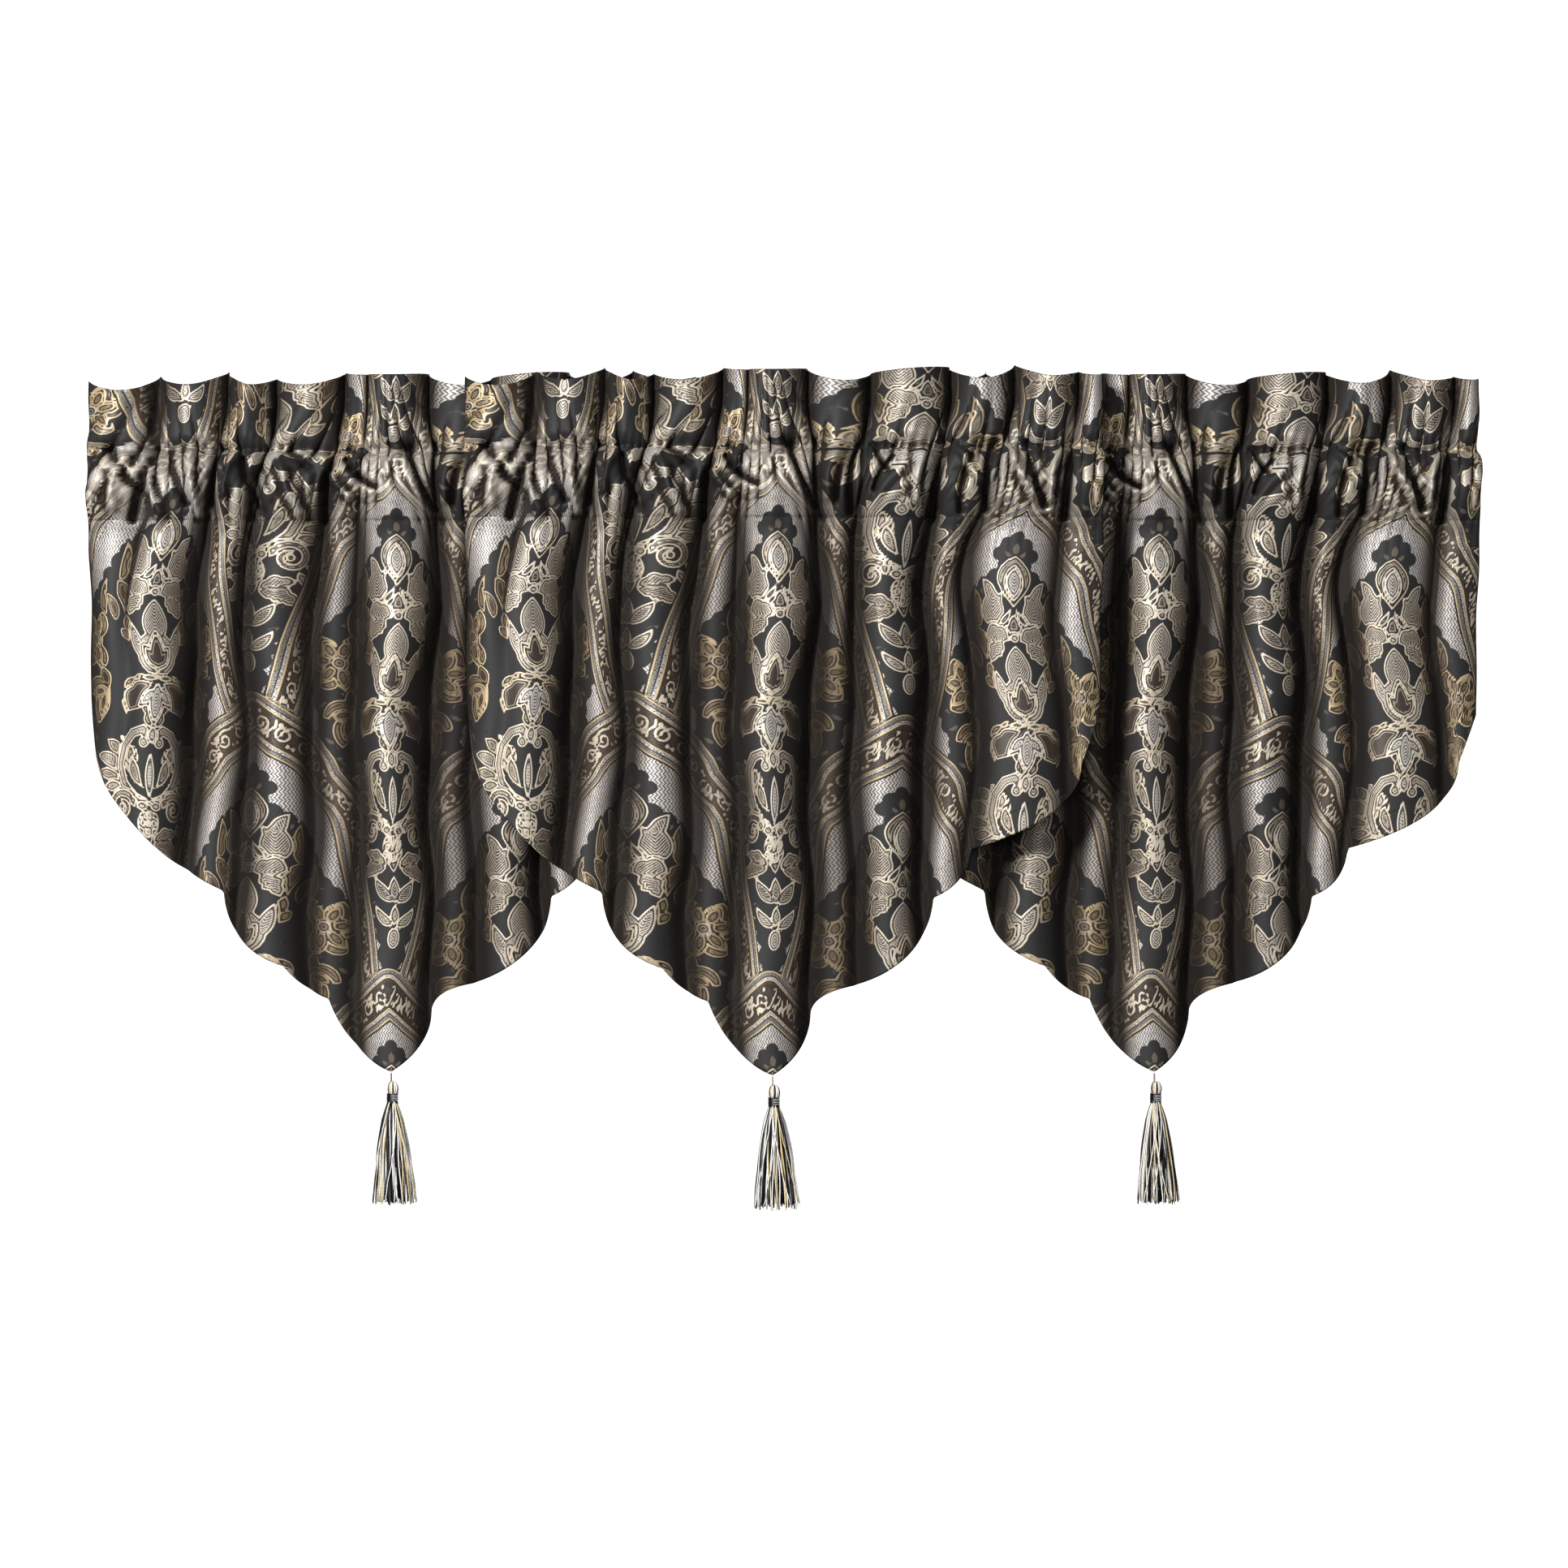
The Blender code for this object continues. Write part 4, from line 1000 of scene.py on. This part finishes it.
    # relief of the weave
    height = g.times(g.step(motif, -0.4, 0.9), 0.5)
    height = g.plus(height, g.times(g.plus(edge_line, gold_lines), 0.35))
    height = g.plus(height, g.times(g.times(satin, on_silver), 0.35))
    height = g.plus(height, g.times(in_band, 0.2))
    height = g.plus(height, g.times(curl, 0.4))
    height = g.plus(height, g.times(fleck, 0.5))
    height = g.math("SUBTRACT", height, g.times(seam, 0.9))
    g.relief(height, 0.55, 0.35 * MM)
    return g.material


def yarn_material(name, colour, roughness, sheen=0.0):
    """Twisted rayon yarn, with its fine twist as a small relief."""
    g = Graph(name)
    place = g.node("ShaderNodeTexCoord").outputs["Object"]
    grain = g.noise(place, 900.0, 2.0, 0.6)
    darker = (*(value * 0.78 for value in colour[:3]), 1.0)
    shade = g.blend(g.step(grain, 0.25, 0.6), darker, colour)
    g.shader.inputs["Sheen Weight"].default_value = sheen
    g.put(g.shader.inputs["Base Color"], shade)
    g.shader.inputs["Roughness"].default_value = roughness
    g.relief(grain, 0.5, 0.2 * MM)
    return g.material


# Pieces

def add_object(name, bm, materials):
    """A smooth shaded piece from a finished mesh."""
    mesh = bpy.data.meshes.new(name)
    bm.to_mesh(mesh)
    bm.free()
    for item in materials:
        mesh.materials.append(item)
    mesh.shade_smooth()
    made = bpy.data.objects.new(name, mesh)
    bpy.context.scene.collection.objects.link(made)
    return made


def grid_mesh(x, y, z, rim):
    """A grid of the surface with its edge turned back by the cloth's thickness."""
    across, down = x.shape[0] - 1, x.shape[1] - 1
    bm = bmesh.new()
    bmesh.ops.create_grid(bm, x_segments=across, y_segments=down, size=0.5)
    order = np.empty(len(bm.verts), int)
    for number, vert in enumerate(bm.verts):
        column = round((vert.co.x + 0.5) * across)
        row = round((0.5 - vert.co.y) * down)
        order[number] = column * (down + 1) + row
        vert.co = (x[column, row], y[column, row], z[column, row])
    bmesh.ops.recalc_face_normals(bm, faces=bm.faces[:])
    bm.normal_update()
    facing = sum(face.normal.y for face in bm.faces)
    if facing > 0:
        bmesh.ops.reverse_faces(bm, faces=bm.faces[:])
    edges = [edge for edge in bm.edges if edge.is_boundary]
    owners = {}
    made = bmesh.ops.extrude_edge_only(bm, edges=edges)["geom"]
    new_verts = [item for item in made if isinstance(item, bmesh.types.BMVert)]
    bm.verts.index_update()
    for vert in new_verts:
        for edge in vert.link_edges:
            other = edge.other_vert(vert)
            if other.index < len(order):
                owners[vert.index] = order[other.index]
        vert.co.y += rim
    return bm, order, owners


def put_fields(mesh, order, owners, names):
    """Stores the woven fields, with the painted shade and highlight, on the mesh's points, three to an
    attribute.
    """
    total = len(mesh.vertices)
    source = np.zeros(total, int)
    source[:len(order)] = order
    for index, value in owners.items():
        source[index] = value
    for name, arrays in names.items():
        data = np.stack([array.ravel()[source] for array in arrays], axis=1).astype(np.float32)
        made = mesh.attributes.new(name, "FLOAT_VECTOR", "POINT")
        made.data.foreach_set("vector", data.ravel())
    return source


def put_uv(mesh, source, u, v):
    """A UV map of the flat cloth, for whoever wants to paint it."""
    flat_u, flat_v = u.ravel()[source], v.ravel()[source]
    corners = np.zeros(len(mesh.loops), int)
    mesh.loops.foreach_get("vertex_index", corners)
    share_u = (flat_u - flat_u.min()) / np.ptp(flat_u)
    share_v = (flat_v - flat_v.min()) / np.ptp(flat_v)
    values = np.stack([share_u, 1 - share_v], axis=1)[corners]
    layer = mesh.uv_layers.new(name="flat_cloth")
    layer.data.foreach_set("uv", values.astype(np.float32).ravel())


def window_mean(values, reach, axis):
    """The mean of values over a window of reach steps to either side."""
    moved = np.moveaxis(values, axis, 0)
    padded = np.pad(moved, ((reach, reach), (0, 0)), mode="edge")
    total = np.cumsum(np.vstack([np.zeros((1, moved.shape[1])), padded]), axis=0)
    mean = (total[2 * reach + 1:] - total[:-2 * reach - 1])[:len(moved)] / (2 * reach + 1)
    return np.moveaxis(mean, 0, axis)


def lobe_shade(u):
    """The shadow that low lobes lie in between higher ones."""
    shadow = np.zeros_like(u)
    for left, right in zip(FOLDS[:-1], FOLDS[1:]):
        start, end = left["flat"] * MM, right["flat"] * MM
        shadow += left["shade"] * ramp(u - start, 6 * MM) * ramp(end - u, 6 * MM)
    return shadow


def pleat_shade(u, z):
    """The dark that each pleat of the heading holds."""
    shadow = np.zeros_like(u)
    for row in FOLDS[1:-1]:
        away = (u - row["flat"] * MM) / MM
        shadow = np.maximum(shadow, bell(away, 4.0 + 3.5 * row["tuck"]))
    return shadow * ramp(z - HEADING_SEAM_Z, 8 * MM)


def smooth_folds(y, z):
    """The folds without the pocket's bulge, sharp and smoothed over about a thumb's width."""
    folds = y + FRONT_BULGE * front_share(z)
    return folds, window_mean(window_mean(folds, 4, 0), 3, 1)


def ridge_light(y, z):
    """Crests of the gathers, 0 to 1, where the satin is stretched tight and a highlight is painted into its
    colour.
    """
    folds, near = smooth_folds(y, z)
    gathered = bell(z - HEADING_SEAM_Z + 24 * MM, 30 * MM)
    return np.clip((near - folds - 0.05 * MM) / (1.1 * MM), 0, 1) * gathered


def painted_fold_shade(x, y, z, u):
    """How far the cloth sinks into a fold or turns sideways, 0 to 1: the amount of shade painted into the
    satin's colour there.
    """
    folds, near = smooth_folds(y, z)
    sunk = np.clip((folds - window_mean(folds, 22, 0)) / (7.5 * MM) + 0.08, 0, 1)
    creased = ramp(folds - near - 0.45 * MM, 0.9 * MM)
    slope = np.abs(np.gradient(near, axis=0) / np.maximum(np.gradient(x, axis=0), 0.2 * MM))
    sideways = 1 - 1 / np.sqrt(1 + slope**2)
    gathered = np.exp(-np.abs(z - HEADING_SEAM_Z - 8 * MM) / (42 * MM))
    broad = 0.85 * sunk + 1.1 * sideways + lobe_shade(u) * ramp(POCKET_SEAM_Z - z, 30 * MM)
    broad = np.maximum(broad, window_mean(np.clip(broad, 0, 1), 5, 0) * 1.1)
    creased = creased * (0.85 - 0.2 * gathered)
    return np.clip(broad * (1 - 0.9 * gathered) + creased + 0.8 * pleat_shade(u, z), 0, 1)


def stitch_fields(x, z, u, v):
    """Distance to the nearest stitch line and the distance along it, in millimetres."""
    rows = np.stack([z[:, -1]] * z.shape[1], axis=1)
    slope = np.gradient(softened(rows[:, 0], 6), softened(x[:, -1], 6) + np.arange(len(x)) * 1e-9)
    tilt = 1 / np.sqrt(1 + np.clip(slope, -6, 6) ** 2)
    from_hem = (z - rows) * tilt[:, None] - HEM_TURNING
    from_left = (u - u.min()) - SIDE_TURNING
    from_right = (u.max() - u) - SIDE_TURNING
    lines = np.stack([
        np.abs(from_hem), np.abs(from_left), np.abs(from_right),
        np.abs(z - seam_height(u)) + 0.35 * MM, np.abs(z - POCKET_SEAM_Z),
    ])
    nearest = lines.argmin(axis=0)
    along = np.where((nearest == 1) | (nearest == 2), v, u)
    return np.clip(lines.min(axis=0) / MM, 0, 6), along / MM


# Every second column, and every second row down to the pocket seam
FACING_PICK = (slice(None, None, 2), slice(0, HEADING_ROWS + POCKET_ROWS + 1, 2))


def facing_surface(x, y, z):
    """The cloth turned back behind the heading and the rod, at a coarser pitch."""
    x, y, z = x[FACING_PICK], y[FACING_PICK], z[FACING_PICK]
    share = pocket_share(z)
    folds = y + FRONT_BULGE * front_share(z)
    back = np.maximum(FACING_FOLLOWS * folds, 0) + BACK_BULGE
    behind = y + CLOTH_THICK * 1.9
    return x, behind * (1 - share) + back * share, z


def build_cloth(row, surface, fields, material):
    """One valance's cloth and the facing behind its heading."""
    name = row["name"]
    x, y, z, u, v, _ = surface
    bm, order, owners = grid_mesh(x + row["x"], y + row["y"], z, CLOTH_THICK)
    panel = add_object(f"{name}_valance_cloth", bm, [material])
    source = put_fields(panel.data, order, owners, fields)
    put_uv(panel.data, source, u, v)
    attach(panel, "root")
    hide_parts(f"{name}_panel")
    x, y, z = facing_surface(x, y, z)
    u, v = u[FACING_PICK], v[FACING_PICK]
    bm, order, owners = grid_mesh(x + row["x"], y + row["y"], z, CLOTH_THICK)
    facing = add_object(f"{name}_heading_facing", bm, [material])
    picked = {key: [array[FACING_PICK] for array in arrays] for key, arrays in fields.items()}
    source = put_fields(facing.data, order, owners, picked)
    put_uv(facing.data, source, u, v)
    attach(facing, "root")
    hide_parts(f"{name}_facing")


# Tassel sizes, close to the solids'
HEAD_LENGTH = 9.5 * MM
WRAP_LENGTH = 7.2 * MM
SKIRT_LENGTH = 75 * MM
STRANDS = 96
STRAND_STEPS = 11
STRAYS = 4
HEAD_LOOPS = 9
GOLDEN_ANGLE = 2.399963
SKIRT_LEAN = 2.0 * MM
# The skirt's radius in millimetres at shares of its length
SKIRT_WIDTHS = (
    (0.0, 3.0), (0.05, 4.6), (0.18, 7.8), (0.34, 10.2), (0.49, 12.2), (0.65, 13.4), (0.8, 14.8), (1.0, 16.0),
)
# Places of the yarns in a tassel's list of materials
BLACK_YARN, SILVER_YARN, GOLD_YARN, GREY_YARN = 0, 1, 2, 3
HEAD_YARNS = (1, 1, 0, 2, 1, 0, 1, 1, 3)
WRAP_TURNS = 6
WRAP_STEPS_PER_TURN = 16


def tube(bm, points, radius, sides, material_index, taper=1.0):
    """A thin tube along a line of points, made by extruding a small ring."""
    first = points[1] - points[0]
    ring = bmesh.ops.create_circle(bm, segments=sides, radius=radius, cap_ends=True)["verts"]
    turn = first.to_track_quat("Z", "Y").to_matrix().to_4x4()
    bmesh.ops.transform(bm, matrix=Matrix.Translation(points[0]) @ turn, verts=ring)
    cap = ring[0].link_faces[0]
    cap.material_index = material_index
    offsets = [vert.co - points[0] for vert in cap.verts]
    made = bmesh.ops.extrude_face_region(bm, geom=[cap], use_keep_orig=True)["geom"]
    cap = [item for item in made if isinstance(item, bmesh.types.BMFace)][0]
    for number in range(1, len(points)):
        if number > 1:
            cap = bmesh.ops.extrude_discrete_faces(bm, faces=[cap])["faces"][0]
        scale = 1 + (taper - 1) * number / (len(points) - 1)
        for vert, offset in zip(cap.verts, offsets):
            vert.co = points[number] + offset * scale
            for face in vert.link_faces:
                face.material_index = material_index


def skirt_radius(share):
    """The skirt's radius at a share of its length, in metres."""
    return float(np.interp(share, [a for a, _ in SKIRT_WIDTHS], [b for _, b in SKIRT_WIDTHS])) * MM


def build_tassel(name, top, materials, seed):
    """Looped head and loose strands of one tassel, as one piece."""
    chance = random.Random(seed)
    bm = bmesh.new()
    neck_z = top.z - HEAD_LENGTH - WRAP_LENGTH * 0.5
    skirt_top = neck_z - WRAP_LENGTH * 0.3
    # strands
    for number in range(STRANDS):
        ring = ((number + 0.5) / STRANDS) ** 0.38
        angle = number * GOLDEN_ANGLE + chance.uniform(-0.2, 0.2)
        length = SKIRT_LENGTH - chance.random() ** 2 * 5 * MM - (1 - ring) * 1.0 * MM
        sway = chance.uniform(-1, 1)
        drift = chance.uniform(-0.16, 0.16)
        phase = chance.uniform(0, 6.28)
        points = []
        for step in range(STRAND_STEPS + 1):
            share = step / STRAND_STEPS
            radius = ring * skirt_radius(share) * (1 + 0.05 * sway)
            turn = angle + drift * share + 0.05 * math.sin(7 * share + phase)
            wave = 0.35 * MM * math.sin(9 * share + phase) * share
            x = top.x + radius * math.cos(turn) + wave + SKIRT_LEAN * share
            y = top.y + radius * math.sin(turn) + wave * 0.6
            points.append(Vector((x, y, skirt_top - length * share)))
        dark = ring < 0.7 or math.sin(17.0 * angle + math.sin(3.0 * angle)) + 0.7 * chance.random() < 0.05
        kind = BLACK_YARN
        if not dark:
            kind = chance.choices((SILVER_YARN, GOLD_YARN, GREY_YARN), weights=(68, 26, 6))[0]
        tube(bm, points, (0.6 if dark else 0.46) * MM, 4, kind, 0.92)
    # a few strays that cross the others
    for number in range(STRAYS):
        angle = chance.uniform(-2.6, -0.5)
        points = []
        for step in range(STRAND_STEPS + 1):
            share = step / STRAND_STEPS
            radius = skirt_radius(share) * 1.03 + 0.4 * MM
            turn = angle + (chance.choice((-1, 1)) * 0.02) + (0.9 if number % 2 else -0.9) * share
            x = top.x + radius * math.cos(turn) + SKIRT_LEAN * share
            y = top.y + radius * math.sin(turn)
            points.append(Vector((x, y, skirt_top - SKIRT_LENGTH * 0.97 * share)))
        tube(bm, points, 0.4 * MM, 4, SILVER_YARN if number < 3 else GOLD_YARN, 0.9)
    # looped head
    for number, kind in enumerate(HEAD_YARNS):
        angle = math.pi * number / HEAD_LOOPS + chance.uniform(-0.08, 0.08)
        across = Vector((math.cos(angle), math.sin(angle), 0))
        points = []
        for step in range(15):
            turn = math.pi * (1.5 * step / 14 - 0.25)
            rise = WRAP_LENGTH * 0.5 + 3.2 * MM + 5.5 * MM * math.sin(turn)
            points.append(Vector((top.x, top.y, neck_z + rise)) + across * 3.9 * MM * math.cos(turn))
        tube(bm, points, 0.72 * MM, 6, kind)
    bmesh.ops.recalc_face_normals(bm, faces=bm.faces[:])
    made = add_object(f"{name}_tassel_yarn", bm, materials)
    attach(made, "root")
    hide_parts(f"{name}_tassel")


def build_wrap(name, top, material):
    """Black thread wound round the tassel's neck."""
    neck_z = top.z - HEAD_LENGTH - WRAP_LENGTH * 0.5
    bm = bmesh.new()
    points = []
    steps = WRAP_TURNS * WRAP_STEPS_PER_TURN
    for step in range(steps + 1):
        share = step / steps
        angle = 2 * math.pi * WRAP_TURNS * share
        radius = (3.85 + 0.15 * math.sin(math.pi * share)) * MM
        x = top.x + radius * math.cos(angle)
        y = top.y + radius * math.sin(angle)
        points.append(Vector((x, y, neck_z + WRAP_LENGTH * (0.5 - share))))
    tube(bm, points, 0.52 * MM, 5, 0)
    bmesh.ops.recalc_face_normals(bm, faces=bm.faces[:])
    made = add_object(f"{name}_neck_wrap", bm, [material])
    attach(made, "root")
    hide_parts(f"{name}_wrap")


surface = cloth_surface()
x, y, z, u, v, woven_u = surface
woven = damask(woven_u, v)
stitch, along = stitch_fields(x, z, u, v)
nothing = np.zeros_like(u)
fields = {
    "weave_a": [woven["motif"], woven["vein"], woven["gilt"]],
    "weave_b": [woven["sprig"], woven["ground"], woven["band"]],
    "weave_c": [woven["scroll"], stitch, along],
    # painted shade of the folds, stored beside the filling and the bronze share
    "weave_and_shade_d": [woven["fill"], painted_fold_shade(x, y, z, u), woven["dim"]],
    # painted highlight on the gathers' crests
    "painted_crest_highlight": [ridge_light(y, z), nothing, nothing],
    "flat": [woven_u / MM, v / MM, nothing],
}
damask_cloth = cloth_material("damask_cloth")
yarns = [
    yarn_material("black_yarn", rgb(14, 13, 17), 0.5),
    yarn_material("silver_yarn", rgb(252, 250, 244), 0.45, 0.25),
    yarn_material("gold_yarn", rgb(232, 206, 152), 0.45, 0.15),
    yarn_material("grey_yarn", rgb(150, 146, 142), 0.45, 0.1),
]
wrap_thread = yarn_material("black_wrap_thread", rgb(22, 22, 28), 0.32)
pale_thread = yarn_material("pale_loop_thread", rgb(150, 142, 130), 0.5)

for number, row in enumerate(VALANCES):
    build_cloth(row, surface, fields, damask_cloth)
    low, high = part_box(f"{row['name']}_tassel")
    top = Vector(((low.x + high.x) / 2 - 1.0 * MM, (low.y + high.y) / 2, high.z))
    build_tassel(row["name"], top, yarns, number + 5)
    build_wrap(row["name"], top, wrap_thread)
    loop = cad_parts[f"{row['name']}_loop"]
    loop.data.materials.clear()
    loop.data.materials.append(pale_thread)


# Studio

def area_light(name, place, aim, size, power):
    """A square soft light that points from its place to its aim."""
    data = bpy.data.lights.new(name, "AREA")
    data.shape = "RECTANGLE"
    data.size = size
    data.size_y = size
    data.energy = power
    made = bpy.data.objects.new(name, data)
    made.location = place
    made.rotation_mode = "QUATERNION"
    made.rotation_quaternion = (Vector(aim) - Vector(place)).to_track_quat("-Z", "Y")
    bpy.context.scene.collection.objects.link(made)


def backdrop():
    """A pale round floor that sweeps up into a pale wall on every side."""
    g = Graph("pale_paper")
    g.shader.inputs["Base Color"].default_value = (0.86, 0.86, 0.86, 1.0)
    g.shader.inputs["Roughness"].default_value = 0.9
    g.shader.inputs["Emission Color"].default_value = (1.0, 1.0, 1.0, 1.0)
    g.shader.inputs["Emission Strength"].default_value = 1.05
    profile = [(0.0, -1.0), (4.2, -1.0), (4.55, -0.93), (4.8, -0.75), (4.9, -0.45), (4.9, 3.2)]
    bm = bmesh.new()
    line = [bm.verts.new((x, 0, z)) for x, z in profile]
    edges = [bm.edges.new(pair) for pair in zip(line[:-1], line[1:])]
    bmesh.ops.spin(bm, geom=line + edges, axis=(0, 0, 1), angle=2 * math.pi, steps=48, use_merge=True)
    bmesh.ops.remove_doubles(bm, verts=bm.verts[:], dist=1e-5)
    bmesh.ops.recalc_face_normals(bm, faces=bm.faces[:])
    made = add_object("studio_backdrop", bm, [g.material])
    made.visible_glossy = False
    made.visible_diffuse = False
    made.visible_shadow = False


backdrop()
area_light("left_softbox", (-1.5, -2.5, 0.45), (0.0, 0.0, -0.3), 0.45, 96)
area_light("front_softbox", (0.1, -3.0, 0.0), (0.0, 0.0, -0.3), 0.7, 17)
area_light("top_softbox", (-0.4, -1.7, 1.6), (0.0, 0.0, -0.1), 0.5, 16)
area_light("back_softbox", (0.8, 2.6, 0.6), (0.0, 0.0, -0.3), 0.6, 60)
world = bpy.context.scene.world or bpy.data.worlds.new("studio_world")
bpy.context.scene.world = world
world.use_nodes = True
world.node_tree.nodes["Background"].inputs[0].default_value = (1.0, 1.0, 1.0, 1.0)
world.node_tree.nodes["Background"].inputs[1].default_value = 0.1
bpy.context.scene.view_settings.view_transform = "Standard"

camera_data = bpy.data.cameras.new("photo_camera")
camera_data.lens = 100
camera_data.sensor_width = 36
camera = bpy.data.objects.new("photo_camera", camera_data)
camera.location = (8.2 * MM, -3.156, -297.5 * MM)
camera.rotation_euler = (math.pi / 2, 0, 0)
bpy.context.scene.collection.objects.link(camera)
bpy.context.scene.camera = camera
